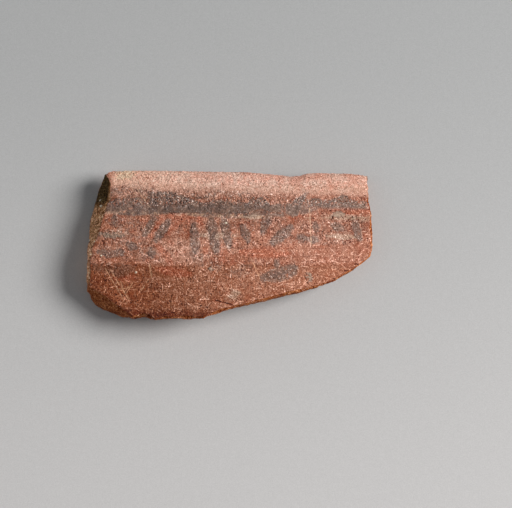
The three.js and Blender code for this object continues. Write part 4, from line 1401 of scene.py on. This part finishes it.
lime = lime_finish()
for number, spot in enumerate(LIME_SPOTS):
    reach_at = partial(stroke_reach, spot, LIME_WIDTH)
    seed = LIME_SEED + SEEDS_PER_COAT * number
    cut = coat_cut(reach_at, *stroke_box(spot, LIME_WIDTH), LIME_WEAR, seed)
    lay_coat(f"lime_spot_{number + 1:02}", cut, LIME_THICKNESS, LIME_LUMPS, lime, "lime")

# Temper: grains of quartz and grit that the potter mixed into the clay so that it wouldn't crack in the
# fire. The largest stand out of the face and the breaks one by one.
GRAIN_SQUASH = (1, 0.8, 0.7)
GRAIN_LUMPS = 0.18
GRAIN_LUMP_SIZE = 0.8
GRAIN_SEED = 230
QUARTZ_DULL = (214, 192, 164)
QUARTZ_PALE = (240, 226, 204)


def quartz_finish():
    finish = Finish("temper_quartz")
    colour = finish.mix(finish.patches(0.5, 221, -0.7, 0.7), QUARTZ_DULL, QUARTZ_PALE)
    return finish.done(colour, 0.5, finish.cloud(0.2, 222, 3.0), 0.02)


quartz = quartz_finish()
for number, (radius, centre) in enumerate(grain_places()):
    name = f"temper_grain_{number + 1:02}"
    bpy.ops.mesh.primitive_ico_sphere_add(subdivisions=4, radius=1)
    ball = bpy.context.object
    shape = np.array([vertex.co for vertex in ball.data.vertices])
    faces = [list(polygon.vertices) for polygon in ball.data.polygons]
    bpy.data.objects.remove(ball)
    lumpy = 1 + GRAIN_LUMPS * uneven(shape, GRAIN_LUMP_SIZE, GRAIN_SEED + number)
    lump = centre + shape * GRAIN_SQUASH * lumpy[:, None] * radius
    finished(shaped(name, laid(lump), lump, faces, quartz), "quartz", name)

# The floor, the lamps and the camera. They aren't part of the sherd. The camera looks square at the painted
# face, so it is set in the bowl's own frame and turned as the sherd lies.
IMAGE_WIDTH = 512
FOCAL_PIXELS = 1984
SENSOR = 36
CAMERA_DISTANCE = 640 * MM
CAMERA_SEES = (10 * MM, 10)
AIM = np.array((8.4, -27.05, -2.0)) * MM
FLOOR_SIDES = (-4, 4, -3, 5)
FLOOR_TURN = (-0.12, 0.1)
FLOOR_NEAR = (210, 207, 205)
FLOOR_FAR = (179, 179, 178)
BACKDROP = (176, 176, 176)
SOFT_LIGHT = (0.156, 0.162, 0.17, 1)

# Each lamp's name, place, diameter and power in watts
LAMPS = (("key", (1.58, 0.18, 1.12), 1, 47), ("fill", (-0.7, -0.3, 0.6), 0.8, 0.7))


def floor():
    left, right, near, far = FLOOR_SIDES
    paper = bpy.data.meshes.new("floor")
    corners = ((left, near, 0), (right, near, 0), (right, far, 0), (left, far, 0))
    paper.from_pydata(corners, [], [(0, 1, 2, 3)])
    ground = added("floor", paper)
    sheet = Finish("floor_paper")
    sheet.place = sheet.add("ShaderNodeTexCoord", output="Object")
    back = sheet.add("ShaderNodeSeparateXYZ", None, {"Vector": sheet.place}).output("Y")
    # Painted light on the floor: lighter near the camera and darker far off, for the fall of the lamps'
    # light.
    tone = sheet.mix(sheet.ramp(back, *FLOOR_TURN), FLOOR_NEAR, FLOOR_FAR)
    tone = sheet.shaded(tone, sheet.grain(241, 0.022, 0.008, 0.004))
    surface = sheet.add("ShaderNodeBsdfPrincipled", None, {"Base Color": tone, "Roughness": 0.95})
    sheet.add("ShaderNodeOutputMaterial", None, {"Surface": surface})
    paper.materials.append(sheet.material)


def lamp(name, place, size, power):
    light = bpy.data.lights.new(name, "AREA")
    light.shape = "DISK"
    light.size = size
    light.energy = power
    holder = added(name, light)
    holder.location = place
    holder.rotation_euler = (-holder.location).to_track_quat("-Z", "Y").to_euler()


floor()
for each in LAMPS:
    lamp(*each)

world = bpy.data.worlds.new("studio")
world.use_nodes = True
world.node_tree.nodes.clear()
air = Sheet(world.node_tree)
ray = air.add("ShaderNodeLightPath", output="Is Camera Ray")
sees_backdrop = ray + ray.output("Is Glossy Ray") + ray.output("Is Transmission Ray")
lit = air.add("ShaderNodeMix", {"data_type": "RGBA"}, {
    "Factor_Float": sees_backdrop, "A_Color": SOFT_LIGHT, "B_Color": as_seen(*BACKDROP),
}, output=2)
glow = air.add("ShaderNodeBackground", None, {"Color": lit})
air.add("ShaderNodeOutputWorld", None, {"Surface": glow})
bpy.context.scene.world = world
bpy.context.scene.view_settings.view_transform = "Standard"

camera = added("camera", bpy.data.cameras.new("camera"))
camera.data.sensor_width = SENSOR
camera.data.lens = FOCAL_PIXELS * SENSOR / IMAGE_WIDTH
camera.data.clip_start, camera.data.clip_end = CAMERA_SEES
axes = np.identity(4)
axes[:3, :3] = turn_to_lie.T
axes[:3, 3] = (AIM + (0, 0, CAMERA_DISTANCE)) @ turn_to_lie + shift_to_lie
camera.matrix_world = Matrix(axes.tolist())
bpy.context.scene.camera = camera
